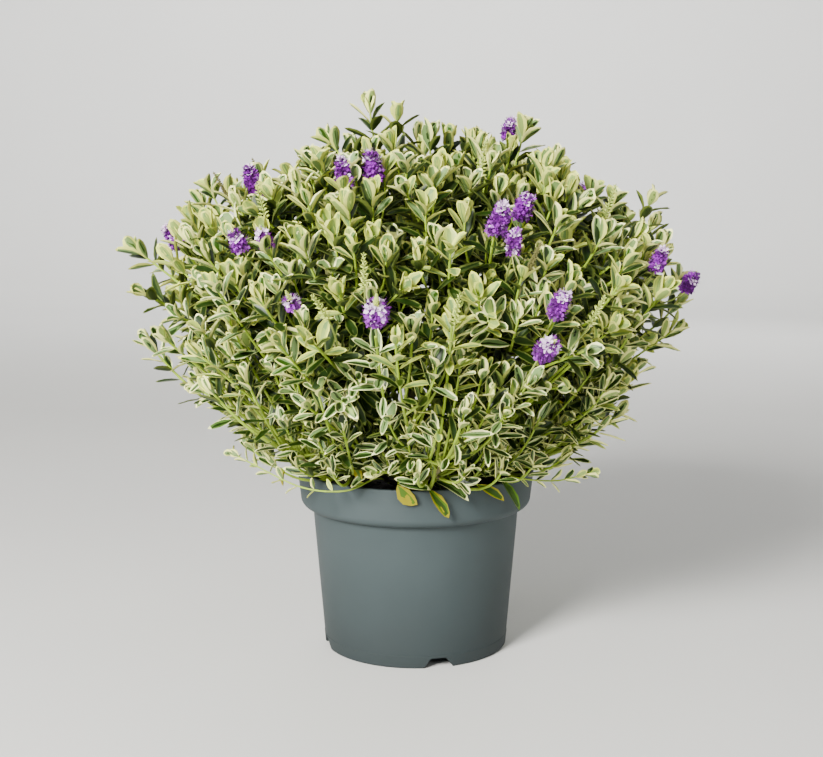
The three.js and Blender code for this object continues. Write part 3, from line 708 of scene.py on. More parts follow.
def new_material(name, colour, roughness, ior=1.45, **values):
    """A plain dielectric surface and its shader, ready for more nodes."""
    material = bpy.data.materials.new(name)
    material.use_nodes = True
    shader = material.node_tree.nodes["Principled BSDF"]
    shader.inputs["Base Color"].default_value = (*colour, 1)
    shader.inputs["Roughness"].default_value = roughness
    shader.inputs["IOR"].default_value = ior
    for key, value in values.items():
        shader.inputs[key.replace("_", " ")].default_value = value
    material.diffuse_color = (*colour, 1)
    return material, material.node_tree, shader


def scaled(colour, share):
    """A colour made darker or lighter, ready for a node."""
    return [*(min(channel * share, 1) for channel in colour), 1]


CLOUD_SIZE = mm(60)
MOULD_GRAIN = mm(1.2)
MOULD_RELIEF = mm(0.03)
FOOT_SHADE = 0.5  # painted shade: share of the plastic's colour left at the pot's foot


def moulded_polypropylene(settings):
    """Injection-moulded polypropylene: matt, with a fine grain and faint clouds of wear and dust, and
    painted shade that darkens it towards its foot."""
    material, tree, shader = new_material("moulded_polypropylene", settings.plastic, 0.6, ior=1.49,
                                          Specular_IOR_Level=0.25)
    place = node(tree, "ShaderNodeTexCoord").outputs["Object"]
    clouds = node(tree, "ShaderNodeTexNoise", Vector=place, Scale=1 / CLOUD_SIZE, Detail=4).outputs["Fac"]
    dusty = node(tree, "ShaderNodeMapRange", Value=clouds, From_Min=0.3, From_Max=0.75).outputs["Result"]
    shades = node(tree, "ShaderNodeMix", COLOURS, _0=dusty, _6=scaled(settings.plastic, 0.93),
                  _7=scaled(settings.plastic, 1.05)).outputs[2]
    # painted shade: the colour darkens towards the pot's foot
    height = node(tree, "ShaderNodeSeparateXYZ", Vector=place).outputs["Z"]
    foot_shade = node(tree, "ShaderNodeMapRange", Value=height, From_Max=FOOT_SHADE_HEIGHT, To_Min=FOOT_SHADE)
    foot_shaded = node(tree, "ShaderNodeMix", MULTIPLIED, _0=1.0, _6=shades, _7=foot_shade.outputs["Result"])
    rough = node(tree, "ShaderNodeMapRange", Value=clouds, To_Min=0.55, To_Max=0.7)
    grain = node(tree, "ShaderNodeTexNoise", Vector=place, Scale=1 / MOULD_GRAIN, Detail=2).outputs["Fac"]
    bump = node(tree, "ShaderNodeBump", Height=grain, Distance=MOULD_RELIEF)
    tree.links.new(foot_shaded.outputs[2], shader.inputs["Base Color"])
    tree.links.new(rough.outputs["Result"], shader.inputs["Roughness"])
    tree.links.new(bump.outputs["Normal"], shader.inputs["Normal"])
    return material


CRUMB_GRAIN = mm(3)
CRUMB_RELIEF = mm(0.8)


def moist_compost(settings):
    """Moist dark compost: matt crumbs with lighter fibres between them."""
    material, tree, shader = new_material("moist_compost", settings.compost, 0.92)
    place = node(tree, "ShaderNodeTexCoord").outputs["Object"]
    grains = node(tree, "ShaderNodeTexNoise", Vector=place, Scale=1 / CRUMB_GRAIN, Detail=5).outputs["Fac"]
    fibrous = node(tree, "ShaderNodeMapRange", Value=grains, From_Min=0.35, From_Max=0.75).outputs["Result"]
    shades = node(tree, "ShaderNodeMix", COLOURS, _0=fibrous, _6=scaled(settings.compost, 0.6),
                  _7=scaled(settings.compost, 2.6))
    bump = node(tree, "ShaderNodeBump", Height=grains, Distance=CRUMB_RELIEF)
    tree.links.new(shades.outputs[2], shader.inputs["Base Color"])
    tree.links.new(bump.outputs["Normal"], shader.inputs["Normal"])
    return material


STREAK_STRETCH = (1, 1, 0.25)  # streaks are four times as long as wide
STREAK_RELIEF = mm(0.4)


def young_bark(name, light, dark, streak_width):
    """Young smooth bark: long soft streaks along the limb, in its colour and its relief."""
    material, tree, shader = new_material(name, linear(light), 0.7)
    place = node(tree, "ShaderNodeTexCoord").outputs["Object"]
    along = node(tree, "ShaderNodeMapping", Vector=place, Scale=STREAK_STRETCH).outputs["Vector"]
    streaks = node(tree, "ShaderNodeTexNoise", Vector=along, Scale=1 / streak_width,
                   Detail=4).outputs["Fac"]
    pale = node(tree, "ShaderNodeMapRange", Value=streaks, From_Min=0.35, From_Max=0.7).outputs["Result"]
    shades = node(tree, "ShaderNodeMix", COLOURS, _0=pale, _6=(*linear(dark), 1), _7=(*linear(light), 1))
    bump = node(tree, "ShaderNodeBump", Height=streaks, Distance=STREAK_RELIEF)
    tree.links.new(shades.outputs[2], shader.inputs["Base Color"])
    tree.links.new(bump.outputs["Normal"], shader.inputs["Normal"])
    return material


def painted_cove():
    """Matt off-white wall paint, with faint clouds where the coat is thinner."""
    material, tree, shader = new_material("painted_cove", linear("#CFCFCD"), 0.8)
    place = node(tree, "ShaderNodeTexCoord").outputs["Object"]
    clouds = node(tree, "ShaderNodeTexNoise", Vector=place, Scale=1 / COVE_CLOUD_SIZE,
                  Detail=3).outputs["Fac"]
    pale = node(tree, "ShaderNodeMapRange", Value=clouds, From_Min=0.2, From_Max=0.8).outputs["Result"]
    shades = node(tree, "ShaderNodeMix", COLOURS, _0=pale, _6=(*linear("#CDCDCB"), 1),
                  _7=(*linear("#D1D1CF"), 1))
    tree.links.new(shades.outputs[2], shader.inputs["Base Color"])
    return material


def plant_tissue(name, hex_colour, roughness):
    """Living tissue with one plain colour, which leaves its spray's others to vary it: a waxy skin
    that is glossier on a leaf's face than on its back."""
    return new_material(name, linear(hex_colour), roughness, Specular_IOR_Level=0.35)[0]


# Tissues of the leaves: what each is, its colour and its roughness.
LEAF_TISSUES = {
    "core_deep": ("#162A05", 0.4),
    "core_green": ("#264309", 0.4),
    "flank_deep": ("#45622A", 0.45),
    "flank_grey": ("#6A864E", 0.45),
    "flank_fresh": ("#A3B450", 0.45),
    "margin_ivory": ("#F2F2A6", 0.45),
    "margin_white": ("#E2E7A2", 0.45),
    "margin_cream": ("#E4E67A", 0.45),
    "margin_lime": ("#D0D860", 0.45),
    # painted shade: margin_shaded and back_shaded are darkened copies for leaves in the crown's shade
    "margin_shaded": ("#5F6C2C", 0.5),
    "back_grey": ("#6A824A", 0.6),
    "back_sage": ("#84994E", 0.6),
    "back_margin": ("#CBD068", 0.6),
    "back_ivory": ("#DEE086", 0.6),
    "back_shaded": ("#35451A", 0.6),
    "yellowed": ("#8A8200", 0.5),
    "yellowed_green": ("#45660A", 0.5),
    "turned_green": ("#263F0A", 0.5),
}
TISSUE = {name: number for number, name in enumerate(LEAF_TISSUES)}

# Sprays: the tissues of the face's core, flanks and margins, and of the back's middle and margins.
SPRAYS = {
    "cream": ("core_green", "flank_grey", "margin_cream", "back_grey", "back_margin"),
    "ivory": ("core_deep", "flank_grey", "margin_ivory", "back_sage", "back_ivory"),
    "sage": ("core_deep", "flank_grey", "margin_white", "back_grey", "back_ivory"),
    "fresh": ("flank_grey", "flank_fresh", "margin_lime", "back_sage", "back_margin"),
    "green": ("core_deep", "flank_deep", "margin_white", "back_grey", "back_ivory"),
    # painted shade: the spray of leaves behind the tufts and deep inside the crown
    "shaded": ("core_deep", "core_deep", "margin_shaded", "back_shaded", "margin_shaded"),
    "yellowed": ("yellowed_green", "yellowed_green", "yellowed", "yellowed", "yellowed"),
    "golden": ("yellowed_green", "yellowed", "yellowed", "yellowed", "yellowed"),
    "turning": ("turned_green", "yellowed_green", "yellowed", "yellowed", "yellowed"),
    "turned": ("turned_green", "turned_green", "yellowed_green", "turned_green", "yellowed"),
}
SPRAY_TISSUES = np.array([[TISSUE[tissue] for tissue in spray] for spray in SPRAYS.values()])
SPRAY = {name: number for number, name in enumerate(SPRAYS)}
UPPER_SPRAYS = ("cream", "cream", "ivory", "ivory", "sage", "fresh")
FRESH_SHARE = 0.25  # of the end leaves of upper shoots
SHADE_STARTS = 0.82  # shares of the crown's reach between which more leaves take the shaded spray, as painted shade
SHADE_FULL = 0.6
SHADED_WITH_PAIR = 0.3  # more of a tuft's leaves take the shaded spray, as painted shade, with each pair behind its first two
# painted shade behind the tufts is this much rarer on low shoots
LESS_SHADED_LOW = 0.75
YELLOWED_PAIRS = 7  # some leaves behind these have turned yellow
YELLOWED_SHARE = 0.02
LOWER_SPRAYS = ("sage", "sage", "ivory", "ivory", "green", "green")
GREENER_AWAY = 0.75  # painted shade: of the shoots on the side away from the light, as green as low ones


# ---- The rule of growth ----

def crown_reach(towards, dome_reach, skirt_reach):
    """How far the crown reaches in a direction, or in each of some."""
    elevation = np.degrees(np.arcsin(np.clip(towards[..., 2], -1, 1)))
    rise = np.clip((elevation - SKIRT_ELEVATION) / (DOME_ELEVATION - SKIRT_ELEVATION), 0, 1)
    reach = lerp(skirt_reach, dome_reach, rise * rise * (3 - 2 * rise))
    for azimuth, swell_elevation, swell, spread in SWELLS:
        away = np.degrees(np.arccos(np.clip(towards @ direction(azimuth, swell_elevation), -1, 1)))
        reach = reach + swell * np.exp(-((away / spread) ** 2))
    return reach


UP = np.array((0, 0, 1.0))
STEM_FOOT = np.array((0, 0, SOIL_TOP + GAP))
STEM_TIP = np.array((0, 0, SOIL_TOP + STEM_HEIGHT)) + STEM_LEAN
STEM_MIDDLE = np.array((0, 0, SOIL_TOP + STEM_HEIGHT / 2))


def stem_point(t):
    return STEM_FOOT * (1 - t) ** 2 + STEM_MIDDLE * 2 * t * (1 - t) + STEM_TIP * t ** 2


def bough_line(ring, azimuth):
    """A bough from the main stem to the foot of its mass."""
    _, count, _, _, elevation, reach, foot_height, bow = ring
    along = (foot_height - STEM_FOOT[2]) / (STEM_TIP[2] - STEM_FOOT[2])
    foot = stem_point(min(along, 1))
    if count == 1:
        foot = foot + unit(STEM_TIP - STEM_MIDDLE) * GAP
    tip = from_fan(direction(azimuth, elevation), reach)
    return bowed_line(foot, lerp(foot, tip, BOUGH_BEND) + direction(azimuth, 0) * bow, tip)


def planned_masses():
    """Each mass of foliage: its axis, the walls it shares with its neighbours, and its bough."""
    masses = []
    for ring in RINGS:
        name, count, elevation, first, *_ = ring
        for i in range(count):
            azimuth = first + i * 360 / count
            number = f"_{i + 1}" if count > 1 else ""
            masses.append(SimpleNamespace(
                ring=name, name=f"{name}_foliage{number}", leaves_name=f"{name}_leaves{number}",
                bough_name=f"{name}_bough{number}", axis=direction(azimuth, elevation),
                bough=bough_line(ring, azimuth), tips=[], shoots=[]))
    for mass in masses:
        mass.walls = [unit(mass.axis - other.axis) for other in masses if other is not mass]
    return masses


def mass_of(towards, masses):
    return max(masses, key=lambda mass: mass.axis @ towards)


def pushed_off(i, towards, push, most):
    """A tip's direction moved off its neighbours."""
    away = towards[i] - towards
    apart = np.linalg.norm(away, axis=1)
    apart[i] = np.inf
    step = (away * (push / apart ** 4)[:, None]).sum(axis=0)
    step *= min(1, most / max(np.linalg.norm(step), 1e-12))
    return unit(towards[i] + step)


def moved_inside(towards, masses, dome_reach):
    """A tip's direction moved in from the walls of its mass's space, and up from the skirt."""
    for wall in mass_of(towards, masses).walls:
        short = TIP_ROOM / dome_reach - wall @ towards
        if short > 0:
            towards = towards + wall * short
    towards[2] = max(towards[2], sin(radians(LOWEST_TIP_ELEVATION)))
    return unit(towards)


def spiral(count, lowest, highest=90):
    """Directions along a golden-angle spiral between two elevations."""
    heights = [lerp(sin(radians(lowest)), sin(radians(highest)), (i + 0.5) / count) for i in range(count)]
    return [direction(i * GOLDEN_ANGLE, degrees(asin(height))) for i, height in enumerate(heights)]


def deal_tips(masses, dome_reach, skirt_reach):
    """The main shoots' tips, spread evenly between the named ones, dealt to their masses."""
    random = even_random(SEED)
    named = [direction(*tip) for tip in OUTLINE_TIPS + BLOSSOM_TIPS]
    towards = np.array(named + spiral(DEALT_TIPS, LOWEST_TIP_ELEVATION))
    for _ in range(SPREAD_ROUNDS):
        for i in range(len(towards)):
            if i >= len(named):
                towards[i] = pushed_off(i, towards, SPREAD_PUSH, SPREAD_STEP)
            towards[i] = moved_inside(towards[i], masses, dome_reach)
    for i, way in enumerate(towards):
        jitter = next(random) * REACH_JITTER if i >= len(named) else 0
        reach = crown_reach(way, dome_reach, skirt_reach) * (1 - jitter)
        tip = SimpleNamespace(towards=way, reach=reach, turn=next(random) * pi,
                              blossoms=len(OUTLINE_TIPS) <= i < len(named))
        mass_of(way, masses).tips.append(tip)
    return towards


def has_room(point, mass):
    """Whether a point lies in a mass's own space, clear of the pot and the compost."""
    if any(wall @ (point - FAN_POINT) < GAP for wall in mass.walls):
        return False
    over_pot = hypot(point[0], point[1]) < POT_TOP.x + SHOOT_CLEARANCE
    return point[2] > (POT_TOP.z if over_pot else SOIL_TOP) + SHOOT_CLEARANCE


def shoot_line(start, end, towards, mass, rise=RISE):
    """A shoot that leaves its stem and ends pointing outwards and a little upwards."""
    outwards = unit(towards + UP * rise)
    bend = end - outwards * SHOOT_BEND * np.linalg.norm(start - end)
    if not has_room(bend, mass):
        bend = lerp(start, end, 0.5)
    return bowed_line(start, bend, end)


def shoot(line, towards, turn, foot_radius, **extra):
    """One shoot. Its leafy share is of its length, where that is more than the usual."""
    usual = {"leafy_share": 0, "leaf_scale": 1, "inner": False, "lift": LOW_LIFT, "shown": False}
    return SimpleNamespace(line=line, towards=towards, turn=turn, foot_radius=foot_radius,
                           **{**usual, **extra})


def grow_main_shoots(mass, leaf_reach):
    """The leader goes on from the bough to the tip nearest the mass's axis, and the nearer another
    tip is, the higher its shoot forks."""
    for tip in mass.tips:
        tip.reach -= leaf_reach + (SPIKE_REACH if tip.blossoms else 0)
    leading, *others = sorted(mass.tips, key=lambda tip: -(tip.towards @ mass.axis))
    onward = mass.bough.tangent(1.0)
    foot = mass.bough.at(1.0)
    end = from_fan(leading.towards, leading.reach)
    low = lowness(leading.towards)
    bow = LEADER_BEND * np.linalg.norm(foot - end)
    bend = lerp(foot + onward * bow, end - unit(leading.towards + UP * LOW_RISE) * bow, low)
    leader = shoot(bowed_line(foot, bend, end), leading.towards, leading.turn, LEADER_RADIUS)
    mass.shoots.append(leader)
    for rank, tip in enumerate(others):
        nearness = (rank + 0.5) / len(others)
        start = leader.line.at(lerp(HIGHEST_FORK, LOWEST_FORK, nearness))
        if mass.ring == "low":
            start = mass.bough.at(lerp(1, LOW_FORK, nearness))
        end = from_fan(tip.towards, tip.reach)
        line = shoot_line(start, end, tip.towards, mass, RISE + LOW_RISE * lowness(tip.towards))
        mass.shoots.append(shoot(line, tip.towards, tip.turn, SHOOT_RADIUS))


def fine_towards(main_towards, count):
    """Directions of the finer tips, spread evenly between the main ones."""
    towards = np.array(list(main_towards) + spiral(count, FINE_LOWEST_ELEVATION))
    lowest = sin(radians(FINE_LOWEST_ELEVATION))
    for _ in range(FINE_ROUNDS):
        for i in range(len(main_towards), len(towards)):
            way = pushed_off(i, towards, FINE_PUSH, FINE_STEP)
            way[2] = max(way[2], lowest)
            towards[i] = unit(way)
    return towards[len(main_towards):]


def grow_fine_shoots(masses, main_towards, count, leaf_reach, crown, random):
    """Finer shoots, each forked from the main shoot of its mass that ends nearest to it."""
    for way in fine_towards(main_towards, count):
        low = lowness(way)
        if random.random() < LOW_GAPS * low * (1 - DENSER_IN_LIGHT * max(0, -way[1])):
            continue
        mass = mass_of(way, masses)
        mains = [main for main in mass.shoots if main.foot_radius > FINE_RADIUS]
        parent = max(mains, key=lambda main: main.towards @ way)
        shorter = FINE_JITTER * random.random() ** FINE_JITTER_POWER + LOW_DEPTH * low
        end = from_fan(way, crown_reach(way, *crown) * (1 - shorter) - leaf_reach)
        aside = np.linalg.norm(parent.line.at(1.0) - end)
        back = FINE_FORK_BACK * (1 + random.random()) + aside * FINE_FORK_SPREAD
        along = max(FINE_LOWEST_FORK, 1 - back / parent.line.length)
        line = shoot_line(parent.line.at(along), end, way, mass, FINE_RISE + LOW_RISE * low)
        turn = random.random() * pi
        if line.length > SHORTEST_SHOOT:
            mass.shoots.append(shoot(line, way, turn, FINE_RADIUS))


def grow_long_shoots(masses, leaf_reach, crown, random):
    """Shoots from the main stem's foot that pass close over the rim and rise to the crown's outside."""
    named = [direction(*tip) for tip in LONG_NAMED]
    for i, way in enumerate(named + spiral(LONG_SHOOTS, *LONG_ELEVATIONS)):
        low = lowness(way)
        level = unit(way * (1, 1, 0))
        reach = crown_reach(way, *crown) * random.uniform(*LONG_REACHES) * (1 - LONG_LOW_DEPTH * low)
        out = lerp(*LONG_OVER_RIM, 1 - low) * random.uniform(*LONG_OVER_RIM_SHARES)
        height = LONG_OVER_RIM_HEIGHT
        if i == 0:
            out, height = LEANING_OVER_RIM
        over_rim = level * out + UP * height
        end = from_fan(way, reach - leaf_reach)
        foot = stem_point(random.uniform(*LONG_FEET))
        rising = lerp(over_rim, end, 0.5) + level * random.uniform(0, LONG_BELLY) * reach
        aside = np.cross(UP, level) * random.normal(0, LONG_SWAY) * reach
        sagging = lerp(foot, over_rim, 0.5) - UP * LONG_SAG
        line = line_through((foot, sagging, over_rim, rising + aside, end))
        mass_of(way, masses).shoots.append(
            shoot(line, way, random.random() * pi, LONG_RADIUS, leafy_share=LONG_LEAFY_SHARE,
                  shown=i < len(named)))


def grow_inner_shoots(masses, crown, random):
    """Short shoots inside the crown, each forked from its mass's bough or leader."""
    for way in spiral(INNER_SHOOTS, *INNER_ELEVATIONS):
        mass = mass_of(way, masses)
        end = from_fan(way, crown_reach(way, *crown) * random.uniform(*INNER_REACHES))
        start = mass.shoots[0].line.at(INNER_LEADER_FORK)
        if random.random() < 0.5:
            start = mass.bough.at(random.uniform(*INNER_FORKS))
        turn = random.random() * pi
        line = shoot_line(start, end, way, mass, RISE + LOW_RISE * lowness(way))
        if end[2] > INNER_LOWEST and line.length > SHORTEST_SHOOT:
            mass.shoots.append(shoot(line, way, turn, INNER_RADIUS, inner=True))


@lru_cache(maxsize=1)
def grown_masses(dome_reach, skirt_reach, fine_shoots, leaf_length):
    """The whole plant as masses with their boughs and shoots."""
    masses = planned_masses()
    main_towards = deal_tips(masses, dome_reach, skirt_reach)
    leaf_reach = leaf_length * LEAF_REACH
    for mass in masses:
        grow_main_shoots(mass, leaf_reach)
    crown = (dome_reach, skirt_reach)
    random = np.random.default_rng(SEED)
    grow_fine_shoots(masses, main_towards, fine_shoots, leaf_reach, crown, random)
    grow_long_shoots(masses, leaf_reach, crown, random)
    grow_inner_shoots(masses, crown, random)
    return masses


def plant(context):
    crown = context.scene.hebe_crown
    return grown_masses(crown.dome_reach, crown.skirt_reach, crown.fine_shoots, crown.leaf_length)


# ---- Leaves ----

FACE_POINTS = 6  # across a leaf's face, from rim to rim
BACK_POINTS = 2  # across its back, between the rims
BACK_MIDDLE = 0.55  # half width of the back's middle zone, as a share of the leaf's
CHECKED_SHARES = (0.25, 0.6, 1.0)  # where along a leaf it may stand in a spike's way
LEAF_VERTICES = 2 + len(LEAF_STATIONS) * (FACE_POINTS + BACK_POINTS)


def leaf_faces():
    """The faces of one leaf as vertex numbers, with the spray's tissue of each. Vertices are the root,
    then the face's rows, then the back's inner rows, then the tip."""
    stations = len(LEAF_STATIONS)
    tip = LEAF_VERTICES - 1
    face_rows = [[1 + row * FACE_POINTS + i for i in range(FACE_POINTS)] for row in range(stations)]
    first_back = 1 + stations * FACE_POINTS
    back_rows = [[rim[-1], *(first_back + row * BACK_POINTS + i for i in range(BACK_POINTS)), rim[0]]
                 for row, rim in enumerate(face_rows)]
    faces, tissues = [], []
    for rows, columns in ((face_rows, (2, 1, 0, 1, 2)), (back_rows, (4, 3, 4))):
        for i, tissue in enumerate(columns):
            faces.append((0, rows[0][i + 1], rows[0][i]))
            tissues.append(tissue)
            for near, far in zip(rows, rows[1:]):
                faces.append((near[i], near[i + 1], far[i + 1], far[i]))
                tissues.append(tissue)
            faces.append((rows[-1][i], rows[-1][i + 1], tip))
            tissues.append(columns[0])
    return faces, tissues


def leaf_vertices(leaves, random):
    """Vertices of many leaves at once, from arrays of their roots, frames and sizes."""
    count = len(leaves.length)
    t = np.array((0, *LEAF_STATIONS, 1))
    broad, narrow = np.array((0, *BROAD_OUTLINE, 0)), np.array((0, *NARROW_OUTLINE, 0))
    outline = lerp(broad, narrow, leaves.low[:, None])
    length, half = leaves.length[:, None], leaves.width[:, None] / 2
    middle_x = length * t * (1 - (leaves.arch[:, None] * t) ** 2 / 6)
    middle_z = -length * leaves.arch[:, None] * t ** 2 / 2

    def uneven(shares, low, high):
        return shares * random.uniform(low, high, (count, len(t)))

    cores = [np.clip(uneven(leaves.core[:, None], *CORE_UNEVEN), *CORE_LIMITS) for _ in range(2)]
    flanks = [np.clip(uneven(leaves.flank[:, None], *FLANK_UNEVEN), core + FLANK_BEYOND_CORE, FLANK_LIMIT)
              for core in cores]
    one = np.ones((count, len(t)))
    shares = np.stack((one, flanks[0], cores[0], -cores[1], -flanks[1], -one), axis=2)
    back_shares = np.stack((-BACK_MIDDLE * one, BACK_MIDDLE * one), axis=2)
    wave = leaves.wave[:, None] * np.sin(leaves.phase[:, None] + WAVES * t)

    def raised(share, below):
        y = share * (half * outline)[:, :, None]
        z = (middle_z[:, :, None] + np.abs(y) * leaves.fold[:, None, None]
             + (wave * outline)[:, :, None] * share - below)
        turn = leaves.twist[:, None, None] * t[None, :, None]
        x = np.broadcast_to(middle_x[:, :, None], y.shape)
        twisted = (y * np.cos(turn) - z * np.sin(turn), y * np.sin(turn) + z * np.cos(turn))
        return np.stack((x, *twisted), axis=3)

    face = raised(shares, 0)
    back = raised(back_shares, LEAF_THICKNESS)
    ends = face[:, :, 2:4].mean(axis=2)
    local = np.concatenate((ends[:, :1], face[:, 1:-1].reshape(count, -1, 3),
                            back[:, 1:-1].reshape(count, -1, 3), ends[:, -1:]), axis=1)
    side = np.cross(leaves.facing, leaves.along)
    frames = np.stack((leaves.along, side, leaves.facing), axis=1)
    return leaves.root[:, None] + np.einsum("nvi,nij->nvj", local, frames)


def eased(rank, start, end, pairs, power=1.0):
    """A value that passes from start to end over so many pairs of leaves."""
    return end + (start - end) * np.exp(-((rank / pairs) ** power))


def lowness(towards):
    """How low a direction, or each of some, points in the crown: 0 above, 1 at its foot."""
    elevation = np.degrees(np.arcsin(towards[..., 2]))
    return np.clip((UPPER_ELEVATION - elevation) / (UPPER_ELEVATION - LOW_ELEVATION), 0, 1)


def pair_backs(stem, crown, low):
    """How far back from the tip each pair of leaves stands."""
    usual = min(crown.leafy_length * (1 + low), stem.line.length * lerp(*LEAFY_SHARES, low))
    leafy = max(usual, stem.line.length * stem.leafy_share)
    steps = np.diff(INTERNODE * (1 + WIDER_INTERNODE_LOW * low) * np.arange(MOST_PAIRS) ** INTERNODE_GROWTH)
    backs = FIRST_PAIR + np.concatenate(([0], np.cumsum(np.minimum(steps, LONGEST_INTERNODE))))
    return backs[(backs < leafy) | (backs == FIRST_PAIR)]


def shoot_leaves(stem, crown, random):
    """A shoot's leaves: pairs from its tip inwards, each turned a quarter from the last."""
    backs = pair_backs(stem, crown, lowness(stem.towards))
    rank = np.repeat(np.arange(len(backs)), 2)
    count = len(rank)
    shares = 1 - np.repeat(backs, 2) / stem.line.length
    axis = stem.line.tangent(shares)
    at = stem.line.at(shares)
    low = lowness(units(at - FAN_POINT))
    first = turned(across(axis[0], FIRST_FACING), axis[0], stem.turn)
    crosswise = np.cross(axis[0], first)
    quarter = np.where(rank % 2 == 0, 0, pi / 2) + np.tile((0, pi), len(backs))
    quarter = quarter + random.normal(0, 1, count) * lerp(*TURN_SCATTER, low)
    outward = np.outer(np.cos(quarter), first) + np.outer(np.sin(quarter), crosswise)
    outward = units(outward - axis * (outward * axis).sum(axis=1, keepdims=True))
    bud = random.random() ** BUD_POWER
    opening = eased(rank, lerp(*BUD_OPENINGS, bud), lerp(*FULL_OPENINGS, low), OPENING_PAIRS, OPENING_POWER)
    angle = np.radians(opening + random.normal(0, 1, count) * lerp(*OPENING_SCATTER, low))[:, None]
    along = axis * np.cos(angle) + outward * np.sin(angle)
    facing = axis * np.sin(angle) - outward * np.cos(angle)
    open_share = eased(rank, 0, 1, OPENING_PAIRS)[:, None]
    along = units(along + UP * open_share * lerp(*LIFT_TO_LIGHT, low)[:, None])
    along[:, 2] = np.where(rank > 1, np.maximum(along[:, 2], lerp(-1, stem.lift, low)), along[:, 2])
    along = units(along)
    facing = facing + (UP * FACING_UP + stem.towards * FACING_OUTWARDS) * open_share
    facing = units(facing - along * (facing * along).sum(axis=1, keepdims=True))
    radius = lerp(stem.foot_radius, TIP_RADIUS, shares)[:, None]
    size = random.uniform(*LEAF_SIZES, count) * stem.leaf_scale
    narrowing = NARROWER_INWARDS * np.minimum(rank, NARROWING_PAIRS)
    leaves = SimpleNamespace(
        root=at + outward * radius * ROOT_SHARE,
        along=along,
        facing=facing,
        low=low,
        length=crown.leaf_length * size * eased(rank, BUD_LENGTH, FULL_LENGTH, LENGTH_PAIRS)
        * (1 - SHORTER_LOW * low),
        width=crown.leaf_width * size * (1 - narrowing) * (1 - NARROWER_LOW * low)
        * random.uniform(*LEAF_WIDTHS, count),
        arch=eased(rank, lerp(*BUD_ARCHES, bud), lerp(*FULL_ARCHES, low), ARCH_PAIRS)
        + random.normal(0, ARCH_SCATTER, count),
        fold=eased(rank, *FOLDS, FOLD_PAIRS) + random.normal(0, FOLD_SCATTER, count),
        wave=random.uniform(0, MOST_WAVE, count),
        phase=random.uniform(0, 2 * pi, count),
        twist=random.normal(0, 1, count) * lerp(*TWIST_SCATTER, low),
        core=random.uniform(*CORE_SHARES, count) * (1 + BROADER_CORE_LOW * low),
        flank=random.uniform(*FLANK_SHARES, count) * (1 + BROADER_FLANK_LOW * low),
        own=np.full(count, stem.shown),
        spray=sprays(at, low, rank, crown, stem, random),
    )
    fallen = FALLEN_SHARE * (rank - FIRM_PAIRS) * (FALLEN_FROM_LONG if stem.leafy_share else 1)
    return kept(leaves, random.random(count) > fallen)


def sprays(at, low, rank, crown, stem, random):
    """The spray of colours of each leaf: one for the shoot, with fresher end leaves, and painted shade:
    greener sprays away from the light, and the dark shaded spray behind the tuft and inside the crown."""
    # painted shade: shoots on the side away from the light lean towards the greener low sprays
    greener = max(low.mean(), GREENER_AWAY * max(0, stem.towards[0])) * (not stem.shown)
    dealt = LOWER_SPRAYS if random.random() < greener else UPPER_SPRAYS
    chosen = np.full(len(rank), SPRAY[dealt[random.integers(len(dealt))]])
    chosen[(rank < 2) & (random.random(len(rank)) < FRESH_SHARE * (1 - low))] = SPRAY["fresh"]
    from_middle = at - FAN_POINT
    reach = crown_reach(units(from_middle), crown.dome_reach, crown.skirt_reach) * (1 - LOW_DEPTH * low)
    reached = np.linalg.norm(from_middle, axis=1) / reach
    inside = np.clip((SHADE_STARTS - reached) / (SHADE_STARTS - SHADE_FULL), 0, 1)
    behind = SHADED_WITH_PAIR * (rank - 1) * (1 - LESS_SHADED_LOW * low) * (stem.leafy_share == 0)
    # painted shade: leaves behind the tuft and deep inside the crown take the dark shaded spray
    chosen[random.random(len(rank)) < np.maximum(behind, inside)] = SPRAY["shaded"]
    chosen[(rank > YELLOWED_PAIRS) & (random.random(len(rank)) < YELLOWED_SHARE)] = SPRAY["yellowed"]
    return chosen


def clear_of_pot(leaves):
    """Which leaves keep out of the pot's wall and the compost, and don't hang over the rim."""
    clear = np.ones(len(leaves.length), bool)
    for share in (0.0, 0.5, 1.0):
        point = leaves.root + leaves.along * (leaves.length * share)[:, None]
        radius = np.hypot(point[:, 0], point[:, 1])
        in_pot = (radius < OVER_RIM) & (point[:, 2] < POT_TOP.z + ABOVE_RIM) & (radius > INSIDE_POT)
        in_soil = (radius <= INSIDE_POT) & (point[:, 2] < SOIL_TOP + ABOVE_SOIL)
        clear &= ~(in_pot | in_soil)
    return clear


def gathered(groups):
    """Groups of leaves as one."""
    return SimpleNamespace(**{name: np.concatenate([vars(group)[name] for group in groups])
                              for name in vars(groups[0])})


def kept(leaves, wanted):
    return SimpleNamespace(**{name: values[wanted] for name, values in vars(leaves).items()})


def in_front(stem):
    """The room in front of a shoot that shows, in the form of the room that spikes want."""
    outwards = unit(stem.towards * (1, 1, 0))
    return [SimpleNamespace(foot=point, middle=point, towards=outwards, room=SHOWN_ROOM)
            for point in stem.line.at(np.linspace(*SHOWN_STRETCH, SHOWN_POINTS))]


def clear_of_spikes(leaves, spikes):
    """Which leaves leave room for the spikes, or for a shoot that shows, and for the light on them. A
    leaf of a shoot that shows always stays."""
    clear = np.ones(len(leaves.length), bool)
    for spike in spikes:
        outer = spike.middle + unit(spike.towards + LIGHT_WAY) * SPIKE_LIGHT
        for share in CHECKED_SHARES:
            away = leaves.root + leaves.along * (leaves.length * share)[:, None] - spike.foot
            along = np.clip(away @ (outer - spike.foot) / np.linalg.norm(outer - spike.foot) ** 2, 0, 1)
            free = np.linalg.norm(away - along[:, None] * (outer - spike.foot), axis=1) > spike.room
            clear &= free | leaves.own
    return clear


